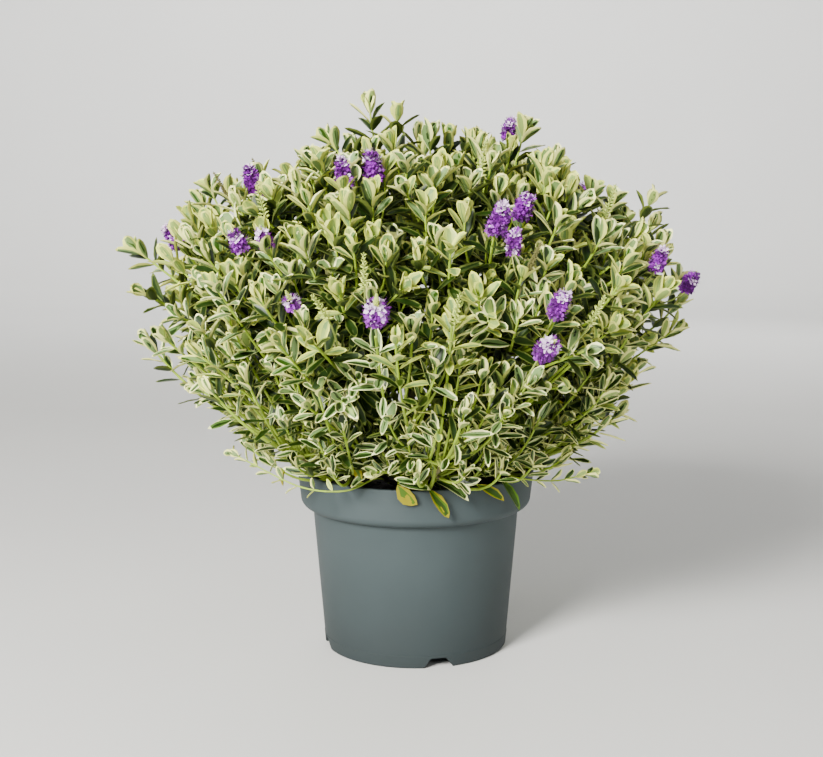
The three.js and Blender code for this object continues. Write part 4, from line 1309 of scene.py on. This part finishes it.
def leaves_mesh(name, leaves, random):
    """All those leaves as one mesh."""
    faces, tissues = leaf_faces()
    tissue_of = SPRAY_TISSUES[leaves.spray][:, tissues]
    shape = Shape()
    numbered = [[corner + LEAF_VERTICES * leaf for corner in face]
                for leaf in range(len(leaves.length)) for face in faces]
    shape.add(leaf_vertices(leaves, random), numbered, tissue_of.ravel().tolist())
    return shape.made(name, leaf_materials(), crease=LEAF_CREASE)


@lru_cache(maxsize=1)
def leaf_materials():
    return [plant_tissue(f"leaf_{name}", *look) for name, look in LEAF_TISSUES.items()]


# ---- Stems ----

GREEN, RIPE, WOODY, RING = range(4)


@lru_cache(maxsize=1)
def stem_materials():
    return [
        plant_tissue("green_shoot", "#8FAA2E", 0.5),
        plant_tissue("ripe_shoot", "#7F942E", 0.55),
        young_bark("woody_shoot", "#7C7844", "#544A30", mm(3)),
        plant_tissue("leaf_scar_ring", "#5A4036", 0.6),
    ]


def stem_tube(shape, line, foot_radius, tip_radius, sides, woody_share):
    """A shoot, slightly swollen at each joint where a pair of leaves stands or has fallen."""
    steps = max(FEWEST_STEPS, int(line.length / JOINT_STEP))
    shares = np.linspace(0, 1, steps + 1)
    joint_here = np.arange(steps + 1) % 2 == 0
    radii = lerp(foot_radius, tip_radius, shares) * np.where(joint_here, *JOINT_SWELLING)
    finish = np.where(shares[:-1] < woody_share, WOODY, np.where(shares[:-1] < RIPE_SHARE, RIPE, GREEN))
    shape.tube(line.at(shares), radii, sides, finish)


# ---- Operators ----

class HEBE_OT_pot(bpy.types.Operator):
    """Moulds the nursery pot with its band, lip and drain notches"""
    bl_idname = "hebe.pot"
    bl_label = "Pot"

    def execute(self, context):
        settings = context.scene.hebe_pot
        outer = Shape()
        outer.lathe(pot_outline(settings), POT_SIDES)
        body = outer.made("pot_body", [moulded_polypropylene(settings)])
        cavity = Shape()
        cavity.lathe(cavity_outline(settings), POT_SIDES)
        hollow = cavity.made("cavity", [])
        cut(hollow, notch_channels(settings, settings.wall))
        cut(body, hollow)
        cut(body, notch_channels(settings, 0))
        body.data.shade_smooth()
        body.data.set_sharp_from_angle(angle=SOFT_EDGE)
        placed(body, "pot", "pot")
        return {"FINISHED"}


def arc(centre, radius, start, end):
    """Points of an arc in the plane of radius and height, by angles in degrees."""
    angles = np.radians(np.linspace(start, end, CURVE_STEPS + 1))
    return [(centre[0] + radius * cos(a), centre[1] + radius * sin(a)) for a in angles]


def pot_outline(settings):
    """The outside of the pot, from the middle of its underside to the middle of its mouth."""
    wall_top = settings.height - settings.band_height
    foot, rim = settings.foot_radius, settings.rim_radius
    slope = (WALL_TOP_RADIUS - foot) / wall_top
    at_step = foot + slope * FOOT_STEP_HEIGHT
    ease_in, ease_down = WALL_TOP_EASE
    outline = [(0, 0)]
    outline += arc((foot - FOOT_ROUND, FOOT_ROUND), FOOT_ROUND, -90, 0)
    outline += [(at_step, FOOT_STEP_HEIGHT), (at_step - FOOT_STEP, FOOT_STEP_HEIGHT + FOOT_STEP)]
    outline += [(WALL_TOP_RADIUS - ease_in, wall_top - ease_down), (WALL_TOP_RADIUS, wall_top)]
    shoulder = BAND_RADIUS - BAND_ROUND
    outline += [(shoulder + BAND_ROUND * sin(a), wall_top + BAND_ROUND * (1 - cos(a)))
                for a in np.linspace(pi / 24, pi / 2, 2 * CURVE_STEPS)]
    outline += arc((rim - RIM_ROUND, settings.height - RIM_ROUND), RIM_ROUND, 0, 90)
    return outline + [(0, settings.height)]


def cavity_outline(settings):
    """The inside of the pot, from its floor to above its mouth."""
    wall, lip = settings.wall, settings.lip_width
    wall_top = settings.height - settings.band_height
    mouth = settings.rim_radius - lip
    outline = [(0, wall), (settings.foot_radius - wall, wall), (WALL_TOP_RADIUS - wall, wall_top)]
    outline += [(BAND_RADIUS - lip, wall_top + BAND_ROUND), (mouth, settings.height - RIM_ROUND)]
    outline += [(mouth + RIM_ROUND, settings.height + ABOVE_LIP)]
    return outline + [(mouth + RIM_ROUND, settings.height + wall), (0, settings.height + wall)]


def notch_section(margin):
    """The rounded trapezium of a drain notch, grown by a margin."""
    foot, top = NOTCH_FOOT_WIDTH / 2 + margin, NOTCH_TOP_WIDTH / 2 + margin
    height = NOTCH_HEIGHT + margin
    left = arc((top - NOTCH_ROUND, height - NOTCH_ROUND), NOTCH_ROUND, NOTCH_LEAN, 90)
    sharper = NOTCH_ROUND / 2
    right = arc((sharper - top, height - sharper), sharper, 90, 180 - NOTCH_LEAN)
    return [(-foot, -BELOW_FLOOR), (foot, -BELOW_FLOOR), (foot - NOTCH_EASE, NOTCH_EASE),
            *left, *right, (NOTCH_EASE - foot, NOTCH_EASE)]


def notch_channels(settings, margin):
    """The channels of all drain notches, from outside the wall inwards. Those that the hollow leaves
    standing are larger by the wall's thickness."""
    shape = Shape()
    section = notch_section(margin)
    outer = settings.foot_radius + (margin or settings.wall * PAST_WALL)
    inner = settings.foot_radius - NOTCH_DEPTH - margin
    sides = len(section)
    for i in range(NOTCHES):
        azimuth = FIRST_NOTCH_AZIMUTH + i * 360 / NOTCHES
        out, aside = direction(azimuth, 0), direction(azimuth + 90, 0)
        rings = [[out * reach + aside * y + np.array((0, 0, z)) for y, z in section]
                 for reach in (inner, outer)]
        faces = [(a, (a + 1) % sides, sides + (a + 1) % sides, sides + a) for a in range(sides)]
        faces += [tuple(reversed(range(sides))), tuple(range(sides, 2 * sides))]
        shape.add(np.vstack(rings), faces, [0] * len(faces))
    return shape.made("channels", [])


class HEBE_OT_compost(bpy.types.Operator):
    """Fills the pot with crumbly compost"""
    bl_idname = "hebe.compost"
    bl_label = "Compost"

    def execute(self, context):
        settings = context.scene.hebe_pot
        random = np.random.default_rng(SEED)
        shape = Shape()
        edge = WALL_TOP_RADIUS - settings.wall + (BAND_RADIUS - WALL_TOP_RADIUS) * SOIL_SPREAD
        outline = [(0, SOIL_FOOT), (SOIL_FOOT_RADIUS, SOIL_FOOT), SOIL_SHOULDER]
        outline += [(edge * share, lerp(SOIL_TOP, SOIL_EDGE, share))
                    for share in np.linspace(1, 0, SOIL_RINGS)]
        shape.lathe(outline, SOIL_SIDES)
        rough = shape.vertices[0]
        for i in np.flatnonzero(rough[:, 2] > SOIL_SURFACE):
            rough[i, 2] += SOIL_RELIEF * noise.fractal(Vector(rough[i] * SOIL_LUMPS_A_METRE), *SOIL_FRACTAL)
        for _ in range(CRUMBS):
            add_crumb(shape, edge, random)
        compost = shape.made("compost", [moist_compost(settings)])
        placed(compost, "compost", "soil")
        return {"FINISHED"}


def add_crumb(shape, edge, random):
    """One lump of compost lying on its surface."""
    reach = edge * CRUMB_REACH * random.random() ** 0.5
    azimuth = random.random() * 360
    size = mm(random.uniform(*CRUMB_SIZES))
    at = direction(azimuth, 0) * reach + np.array((0, 0, lerp(SOIL_TOP, SOIL_EDGE, reach / edge)))
    points = units(random.normal(0, 1, (6, 3)))
    corners = np.array([(1, 0, 0), (-1, 0, 0), (0, 1, 0), (0, -1, 0), (0, 0, 1), (0, 0, -1)], float)
    corners = (corners + points * CRUMB_UNEVEN) * size * CRUMB_FORM
    faces = [(0, 2, 4), (2, 1, 4), (1, 3, 4), (3, 0, 4), (2, 0, 5), (1, 2, 5), (3, 1, 5), (0, 3, 5)]
    shape.add(corners + at, faces, [0] * 8)


class HEBE_OT_main_stem(bpy.types.Operator):
    """Grows the short main stem with the relief of its bark"""
    bl_idname = "hebe.main_stem"
    bl_label = "Main stem"

    def execute(self, context):
        shape = Shape()
        shares = np.linspace(0, 1, STEM_RINGS)
        points = np.array([stem_point(share) for share in shares])
        flare = STEM_FLARE * np.exp(-STEM_FLARE_FADE * shares)
        shape.tube(points, lerp(STEM_RADIUS, STEM_TIP_RADIUS, shares) + flare, STEM_SIDES)
        bark = shape.vertices[0]
        for i, (corner, centre) in enumerate(zip(bark, np.repeat(points, STEM_SIDES, axis=0))):
            out = corner - centre
            place = np.array((out[0], out[1], corner[2])) * BARK_RIDGES
            bark[i] = centre + out * (1 + BARK_RELIEF * noise.fractal(Vector(place), *BARK_FRACTAL))
        stem = shape.made("main_stem_bark", [young_bark("stem_bark", "#8D7B5B", "#4A3A28", mm(4))])
        placed(stem, "bark", "main_stem")
        return {"FINISHED"}


class HEBE_OT_boughs(bpy.types.Operator):
    """Grows the boughs that fan out from the main stem"""
    bl_idname = "hebe.boughs"
    bl_label = "Boughs"

    def execute(self, context):
        shape = Shape()
        masses = plant(context)
        for mass in masses:
            steps = max(FEWEST_BOUGH_STEPS, int(mass.bough.length / BOUGH_STEP))
            shares = np.linspace(0, 1, steps + 1)
            points = mass.bough.at(shares)
            scar_here = np.arange(steps + 1) % RINGED_STEPS == 0
            lumps = [noise.noise(Vector(point * BOUGH_LUMPS_A_METRE)) for point in points]
            swelling = np.where(scar_here, *BOUGH_SWELLING)
            radii = lerp(BOUGH_RADIUS, BOUGH_TIP_RADIUS, shares) * swelling
            radii = radii * (1 + BOUGH_RELIEF * np.array(lumps))
            finish = np.where(shares[:-1] > BARK_ENDS, RIPE, np.where(scar_here[:-1], RING, WOODY))
            shape.tube(points, radii, BOUGH_SIDES, finish)
        boughs = shape.made("boughs_bark", stem_materials())
        placed(boughs, "green_stem", *[mass.bough_name for mass in masses])
        return {"FINISHED"}


class HEBE_OT_shoots(bpy.types.Operator):
    """Grows the green shoots of the crown"""
    bl_idname = "hebe.shoots"
    bl_label = "Shoots"

    def execute(self, context):
        shape = Shape()
        masses = plant(context)
        for mass in masses:
            for stem in mass.shoots:
                fine = stem.foot_radius <= FINE_RADIUS
                woody = 0 if fine or stem.leafy_share else WOODY_SHARE
                sides = FINE_SIDES if fine else SHOOT_SIDES
                stem_tube(shape, stem.line, stem.foot_radius, TIP_RADIUS, sides, woody)
        shoots = shape.made("green_shoots", stem_materials())
        placed(shoots, "green_stem", *[mass.name for mass in masses])
        return {"FINISHED"}


class HEBE_OT_leaves(bpy.types.Operator):
    """Clothes the shoots in pairs of variegated leaves"""
    bl_idname = "hebe.leaves"
    bl_label = "Leaves"

    def execute(self, context):
        crown = context.scene.hebe_crown
        random = np.random.default_rng(SEED + 1)
        spikes = planned_spikes(context)
        for mass in plant(context):
            for stem in mass.shoots:
                if stem.shown:
                    spikes += in_front(stem)
        for mass in plant(context):
            leaves = gathered([shoot_leaves(stem, crown, random) for stem in mass.shoots])
            leaves = kept(leaves, clear_of_pot(leaves) & clear_of_spikes(leaves, spikes))
            placed(leaves_mesh(mass.leaves_name, leaves, random), "foliage", mass.name)
        return {"FINISHED"}


class HEBE_OT_trailing_shoots(bpy.types.Operator):
    """Lets two long thin shoots trail over the rim"""
    bl_idname = "hebe.trailing_shoots"
    bl_label = "Trailing shoots"

    def execute(self, context):
        crown = context.scene.hebe_crown
        random = np.random.default_rng(SEED + 2)
        for side, points in TRAILING_SHOOTS.items():
            line = line_through(np.array(points) / 1000)
            shape = Shape()
            stem_tube(shape, line, TRAILING_RADIUS, TRAILING_TIP_RADIUS, TRAILING_SIDES,
                      TRAILING_WOODY_SHARE)
            stem = shape.made(f"trailing_stem_{side}", stem_materials())
            placed(stem, "green_stem", f"trailing_shoot_{side}")
            trailing = shoot(line, direction(*TRAILING_TOWARDS), TRAILING_TURN, TRAILING_RADIUS,
                             leafy_share=TRAILING_LEAFY_SHARE, leaf_scale=TRAILING_LEAF_SCALE,
                             lift=TRAILING_LIFT)
            leaves = shoot_leaves(trailing, crown, random)
            leaves.width *= TRAILING_BREADTH
            leaves.low[:] = 0
            dealt = random.choice(TRAILING_SPRAYS, len(leaves.low))
            leaves.spray = np.array([SPRAY[spray] for spray in dealt])
            tips = leaves.root + leaves.along * leaves.length[:, None]
            leaves = kept(leaves, np.hypot(tips[:, 0], tips[:, 1]) > POT_TOP.x + TRAILING_BARE)
            leaves = leaves_mesh(f"trailing_leaves_{side}", leaves, random)
            placed(leaves, "foliage", f"trailing_shoot_{side}")
        return {"FINISHED"}


def old_leaves(random):
    """The hanging leaves, each from its foot to its tip."""
    feet = np.array([foot for foot, *_ in OLD_LEAVES]) / 1000
    reach = np.array([tip for _, tip, *_ in OLD_LEAVES]) / 1000 - feet
    count = len(OLD_LEAVES)
    along = units(reach + UP * np.linalg.norm(reach, axis=1, keepdims=True) * OLD_LIFT)
    facing = UP * OLD_FACING_UP + units(feet * (1, 1, 0)) + random.normal(0, OLD_FACING_SCATTER, (count, 3))
    return SimpleNamespace(
        root=feet,
        along=along,
        facing=units(facing - along * (facing * along).sum(axis=1, keepdims=True)),
        low=np.full(count, OLD_NARROWNESS),
        length=np.linalg.norm(reach, axis=1) * OLD_LENGTH,
        width=np.array([mm(width) for _, _, width, _ in OLD_LEAVES]),
        arch=np.full(count, OLD_ARCH),
        fold=random.uniform(*OLD_FOLDS, count),
        wave=np.full(count, OLD_WAVE),
        phase=random.uniform(0, 2 * pi, count),
        twist=random.normal(0, OLD_TWIST, count),
        core=np.full(count, OLD_CORE),
        flank=np.full(count, OLD_FLANK),
        spray=np.array([SPRAY[spray] for *_, spray in OLD_LEAVES]),
    )


class HEBE_OT_old_leaves(bpy.types.Operator):
    """Hangs a few old leaves over the rim on short low twigs"""
    bl_idname = "hebe.old_leaves"
    bl_label = "Old leaves"

    def execute(self, context):
        random = np.random.default_rng(SEED + 4)
        leaves = old_leaves(random)
        twigs = Shape()
        for root, along in zip(leaves.root, leaves.along):
            inner = root * OLD_TWIG_FOOT + UP * mm(random.uniform(*OLD_TWIG_LIFTS))
            inner[2] = max(inner[2], SOIL_TOP + OLD_TWIG_ABOVE_SOIL)
            bend = lerp(inner, root, OLD_TWIG_BEND) + UP * OLD_TWIG_BOW
            line = bowed_line(inner, bend, root + along * OLD_TWIG_INTO_LEAF)
            stem_tube(twigs, line, OLD_TWIG_RADIUS, OLD_TWIG_TIP_RADIUS, FINE_SIDES, 0)
        front = sorted({mass_of(unit(root - FAN_POINT), plant(context)).name for root in leaves.root})
        placed(twigs.made("old_leaf_twigs", stem_materials()), "green_stem", *front)
        placed(leaves_mesh("old_leaves", leaves, random), "foliage", *front)
        return {"FINISHED"}


# ---- Blossom ----

VIOLET, DEEP, LILAC, BUD, STALK, CAPSULE = range(6)


def blossom_materials(settings):
    """Thin silky petals, and green buds, stalks and capsules."""
    looks = (("petal_violet", settings.violet, 0.45), ("petal_deep_violet", settings.deep_violet, 0.5),
             ("petal_lilac", settings.lilac, 0.5), ("flower_bud", settings.bud, 0.55),
             ("flower_stalk", linear("#8FA04A"), 0.55), ("seed_capsule", settings.capsule, 0.6))
    return [new_material(*look)[0] for look in looks]


def add_floret(shape, at, out, up, size, finish, random):
    """A short tube with four spread petals and, in some, two long stamens."""
    side = np.cross(up, out)
    mouth = at + out * size * random.uniform(*TUBE_LENGTHS)
    petal, half = size * PETAL_LENGTH, size * PETAL_HALF_WIDTH
    shoulder, shoulder_bent = PETAL_SHOULDER
    points, faces, finishes = [at], [], []
    spin = random.random() * pi / 2
    for turn in range(4):
        angle = spin + turn * pi / 2
        way = side * cos(angle) + up * sin(angle)
        aslant = np.cross(out, way)
        bent = out * petal * random.uniform(*PETALS_BENT)
        widest = mouth + way * petal * shoulder + bent * shoulder_bent
        first = len(points)
        points += [mouth + (way - aslant) * size * PETAL_FOOT, widest - aslant * half,
                   mouth + way * petal + bent, widest + aslant * half,
                   mouth + (way + aslant) * size * PETAL_FOOT]
        faces += [(first, first + 1, first + 2, first + 3, first + 4), (0, first, first + 4)]
        finishes += [finish, finish]
    outwards, aside, upwards = STAMEN_REACH
    for way in (1, -1) if random.random() < WITH_STAMENS else ():
        first = len(points)
        end = mouth + out * size * outwards + (side * way * aside + up * upwards) * size
        thin = up * size * STAMEN_HALF_WIDTH
        points += [mouth - thin, mouth + thin, end + thin, end - thin]
        faces.append((first, first + 1, first + 2, first + 3))
        finishes.append(LILAC if finish == LILAC else VIOLET)
    shape.add(points, faces, finishes)


def add_bud(shape, at, out, up, size, finish, plumpness):
    """A closed bud: a slim spindle of four sides."""
    side = np.cross(up, out)
    belly = at + out * size * BUD_BELLY
    ring = [belly + (side * cos(a) + up * sin(a)) * size * plumpness for a in (0, pi / 2, pi, 3 * pi / 2)]
    points = [at, *ring, at + out * size]
    faces = [(0, i % 4 + 1, i) for i in range(1, 5)] + [(5, i, i % 4 + 1) for i in range(1, 5)]
    shape.add(points, faces, [finish] * 8)


def add_flower_spike(shape, spike, settings, random):
    """Older florets from the spike's foot, then opening ones, and buds to its tip."""
    tip = spike.foot + spike.way * spike.length * STALK_SHARE
    shape.tube([spike.foot, tip], STALK_RADII, STALK_SIDES, STALK)
    side = across(spike.way, FIRST_FLORET_SIDE)
    count = int(settings.florets * spike.size)
    for i in range(count):
        share = (i + random.random()) / count
        out = turned(side, spike.way, radians(i * GOLDEN_ANGLE))
        lean = lerp(*FLORET_LEANS, share ** 2)
        out = unit(out * (1 - lean * LEAN_LEVEL) + spike.way * (lean + LEAN_UP))
        up = across(out, spike.way)
        at = spike.foot + spike.way * spike.length * share
        reach = settings.floret_reach * random.uniform(*FLORET_SIZES) * lerp(SMALL_FLORET, 1, spike.size)
        if share < spike.open_share:
            opening = max(0, (share - spike.open_share + OPENING_SHARE) / OPENING_SHARE)
            old = DEEP if random.random() < DEEP_SHARE else VIOLET
            finish = LILAC if random.random() < LILAC_SHARES[0] + LILAC_SHARES[1] * opening else old
            add_floret(shape, at, out, up, reach, finish, random)
        elif share < spike.open_share + PALE_BUDS:
            add_bud(shape, at, out, up, reach * PALE_BUD_SIZE, LILAC, PALE_BUD_PLUMPNESS)
        else:
            add_bud(shape, at, out, up, reach * lerp(*GREEN_BUD_SIZES, share), BUD, GREEN_BUD_PLUMPNESS)


def add_paired_spike(shape, spike, bud, finish, stalk_finish, plumpness, random):
    """A spike of buds or capsules in crossed pairs, shorter towards its tip."""
    tip = spike.foot + spike.way * spike.length
    shape.tube([spike.foot, tip], PAIRED_STALK_RADII, STALK_SIDES, stalk_finish)
    side = across(spike.way, FIRST_FLORET_SIDE)
    rows = int(spike.length / bud * ROWS_TO_A_BUD)
    start, filled = PAIRED_STRETCH
    for i in range(rows * 4):
        share = start + filled * (i // 4) / rows
        angle = radians(45 * (i // 4) + 90 * (i % 4)) + random.normal(0, PAIRED_SCATTER)
        out = unit(turned(side, spike.way, angle) + spike.way * lerp(*PAIRED_LEANS, share))
        size = bud * lerp(*PAIRED_SIZES, share) * random.uniform(*FLORET_SIZES)
        at = spike.foot + spike.way * spike.length * share
        add_bud(shape, at, out, across(out, spike.way), size, finish, plumpness)


def planned_spikes(context):
    """Every spike: its kind, its place, the shoot that bears it and the room it wants."""
    crown = context.scene.hebe_crown
    random = np.random.default_rng(SEED + 3)
    kinds = (("flower", FLOWER_SPIKES, context.scene.hebe_blossom.spike_length, FLOWER_ROOM),
             ("bud", BUD_SPIKES, PAIRED_LENGTH, PAIRED_ROOM),
             ("capsule", CAPSULE_SPIKES, PAIRED_LENGTH, PAIRED_ROOM))
    spikes = []
    for kind, tips, full_length, room in kinds:
        for azimuth, elevation, size, open_share in tips:
            towards = direction(azimuth, elevation)
            rise = random.uniform(0, SPIKE_RISE)
            way = unit(towards + UP * rise + random.normal(0, SPIKE_SCATTER, 3))
            length = full_length * lerp(SMALL_SPIKE, 1, size)
            reach = crown_reach(towards, crown.dome_reach, crown.skirt_reach)
            middle = from_fan(towards, reach * SPIKE_DEPTH)
            mass = mass_of(towards, plant(context))
            able = [stem for stem in mass.shoots if not stem.inner and stem.line.length > SPIKE_BACK]
            bearer = max(able, key=lambda stem: stem.towards @ towards)
            spikes.append(SimpleNamespace(
                kind=kind, towards=towards, way=way, length=length, size=size, open_share=open_share,
                foot=middle - way * length / 2, middle=middle, room=room * size, mass=mass,
                fork=bearer.line.at(1 - SPIKE_BACK / bearer.line.length)))
    return spikes


class HEBE_OT_blossom(bpy.types.Operator):
    """Sets the flower spikes, the spikes in bud and the spent ones on their shoots"""
    bl_idname = "hebe.blossom"
    bl_label = "Blossom"

    def execute(self, context):
        settings = context.scene.hebe_blossom
        random = np.random.default_rng(SEED + 5)
        shape = Shape()
        spikes = planned_spikes(context)
        for spike in spikes:
            stalk = bowed_line(spike.fork, spike.foot - spike.way * STALK_BEND, spike.foot)
            finish = CAPSULE if spike.kind == "capsule" else STALK
            shape.tube(stalk.points[::4], STALK_RADIUS, STALK_SIDES, finish)
            if spike.kind == "flower":
                add_flower_spike(shape, spike, settings, random)
            elif spike.kind == "bud":
                add_paired_spike(shape, spike, BUD_SIZE, BUD, finish, BUD_PLUMPNESS, random)
            else:
                add_paired_spike(shape, spike, CAPSULE_SIZE, CAPSULE, finish, CAPSULE_PLUMPNESS, random)
        blossom = shape.made("flower_spikes", blossom_materials(settings))
        placed(blossom, "foliage", *sorted({spike.mass.name for spike in spikes}))
        return {"FINISHED"}


# ---- Stage ----

CAMERA_AT = (mm(-4.08), mm(-1433.9), mm(472.4))
CAMERA_PITCH = radians(8.37)
CAMERA_LENS = 65.5
FLOOR_REACH = 3.6
COVE_RADIUS = 1.2
COVE_HEIGHT = 4.0
COVE_SIDES = 96
COVE_STEPS = 12
COVE_INNER_RINGS = ((0.4, 0), (1.6, 0))  # radius and height
COVE_CLOUD_SIZE = 0.4
LIT_POINT = (0, 0, 0.3)
SOFTBOXES = {  # place, size, power in watts and tint
    "key_softbox": ((-1.36, -2.3, 1.62), 0.9, 304, "#FFFDF8"),
    "fill_softbox": ((2.1, -2.4, 1.15), 1.2, 7, "#F5F9FF"),
    "top_softbox": ((0.2, 0.2, 2.9), 1.2, 8, "#FFFFFF"),
    "back_softbox": ((0.9, 2.6, 1.3), 1.6, 18, "#FFFFFF"),
}
WALL_LIGHTS = {0: 50, 90: 170, 180: 50, 270: 50}  # watts by azimuth; they face outwards, to the wall
WALL_LIGHT_REACH = 3.0
WALL_LIGHT_HEIGHT = 3.0
WALL_LIGHT_SLOPE = -29  # degrees
WALL_LIGHT_SIZE = 2.5
AMBIENT = 0.034


def soft_light(name, at, towards, size, power, tint):
    """A square softbox that faces a point."""
    lamp = bpy.data.lights.new(name, "AREA")
    lamp.shape = "SQUARE"
    lamp.size = size
    lamp.energy = power
    lamp.color = linear(tint)
    thing = bpy.data.objects.new(name, lamp)
    thing.location = at
    thing.rotation_euler = (Vector(towards) - Vector(at)).to_track_quat("-Z", "Y").to_euler()
    bpy.context.scene.collection.objects.link(thing)


class HEBE_OT_stage(bpy.types.Operator):
    """Sets up a pale round cove, soft lights and the camera"""
    bl_idname = "hebe.stage"
    bl_label = "Stage"

    def execute(self, context):
        self.build_cove()
        for name, (at, size, power, tint) in SOFTBOXES.items():
            soft_light(name, at, LIT_POINT, size, power, tint)
        for azimuth, power in WALL_LIGHTS.items():
            at = direction(azimuth, 0) * WALL_LIGHT_REACH + UP * WALL_LIGHT_HEIGHT
            soft_light(f"wall_softbox_{azimuth}", at, at + direction(azimuth, WALL_LIGHT_SLOPE),
                       WALL_LIGHT_SIZE, power, "#FFFFFF")
        world = bpy.data.worlds.new("studio")
        world.use_nodes = True
        background = world.node_tree.nodes["Background"]
        background.inputs["Color"].default_value = (1, 1, 1, 1)
        background.inputs["Strength"].default_value = AMBIENT
        context.scene.world = world
        camera = bpy.data.cameras.new("camera")
        camera.lens = CAMERA_LENS
        viewpoint = bpy.data.objects.new("camera", camera)
        viewpoint.location = CAMERA_AT
        viewpoint.rotation_euler = Euler((pi / 2 - CAMERA_PITCH, 0, 0))
        context.scene.collection.objects.link(viewpoint)
        context.scene.camera = viewpoint
        return {"FINISHED"}

    def build_cove(self):
        """A matt painted floor that curves up into a wall all round, so that no edge shows."""
        turn = np.linspace(0, 2 * pi, COVE_SIDES, endpoint=False)
        corner = [(FLOOR_REACH + COVE_RADIUS * sin(a), COVE_RADIUS * (1 - cos(a)))
                  for a in np.linspace(0, pi / 2, COVE_STEPS + 1)]
        outline = [*COVE_INNER_RINGS, *corner, (FLOOR_REACH + COVE_RADIUS, COVE_HEIGHT)]
        rings = [np.stack((r * np.cos(turn), r * np.sin(turn), np.full(COVE_SIDES, z)), axis=1)
                 for r, z in outline]
        shape = Shape()
        faces = [tuple(range(COVE_SIDES))]
        for a in range(0, (len(rings) - 1) * COVE_SIDES, COVE_SIDES):
            b = a + COVE_SIDES
            faces += [(a + i, b + i, b + (i + 1) % COVE_SIDES, a + (i + 1) % COVE_SIDES)
                      for i in range(COVE_SIDES)]
        shape.add(np.vstack(rings), faces, [0] * len(faces))
        shape.made("cove", [painted_cove()])


class HEBE_PT_panel(bpy.types.Panel):
    """Lists the pieces of the plant"""
    bl_idname = "HEBE_PT_panel"
    bl_label = "Hebe in a pot"
    bl_space_type = "VIEW_3D"
    bl_region_type = "UI"
    bl_category = "Hebe"

    def draw(self, context):
        for operator in OPERATORS:
            self.layout.operator(operator.bl_idname)
        for settings in (context.scene.hebe_pot, context.scene.hebe_crown, context.scene.hebe_blossom):
            box = self.layout.box()
            for name in settings.__annotations__:
                box.prop(settings, name)


OPERATORS = (
    HEBE_OT_pot,
    HEBE_OT_compost,
    HEBE_OT_main_stem,
    HEBE_OT_boughs,
    HEBE_OT_shoots,
    HEBE_OT_leaves,
    HEBE_OT_trailing_shoots,
    HEBE_OT_old_leaves,
    HEBE_OT_blossom,
    HEBE_OT_stage,
)
SETTINGS = (HebePotSettings, HebeCrownSettings, HebeBlossomSettings)


def register():
    for made in (*SETTINGS, *OPERATORS, HEBE_PT_panel):
        bpy.utils.register_class(made)
    bpy.types.Scene.hebe_pot = PointerProperty(type=HebePotSettings)
    bpy.types.Scene.hebe_crown = PointerProperty(type=HebeCrownSettings)
    bpy.types.Scene.hebe_blossom = PointerProperty(type=HebeBlossomSettings)


def unregister():
    del bpy.types.Scene.hebe_blossom
    del bpy.types.Scene.hebe_crown
    del bpy.types.Scene.hebe_pot
    for made in reversed((*SETTINGS, *OPERATORS, HEBE_PT_panel)):
        bpy.utils.unregister_class(made)


def main():
    register()
    bpy.ops.hebe.stage()
    bpy.ops.hebe.pot()
    bpy.ops.hebe.compost()
    bpy.ops.hebe.main_stem()
    bpy.ops.hebe.boughs()
    bpy.ops.hebe.shoots()
    bpy.ops.hebe.leaves()
    bpy.ops.hebe.trailing_shoots()
    bpy.ops.hebe.old_leaves()
    bpy.ops.hebe.blossom()
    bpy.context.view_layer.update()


if __name__ == "__main__":
    main()
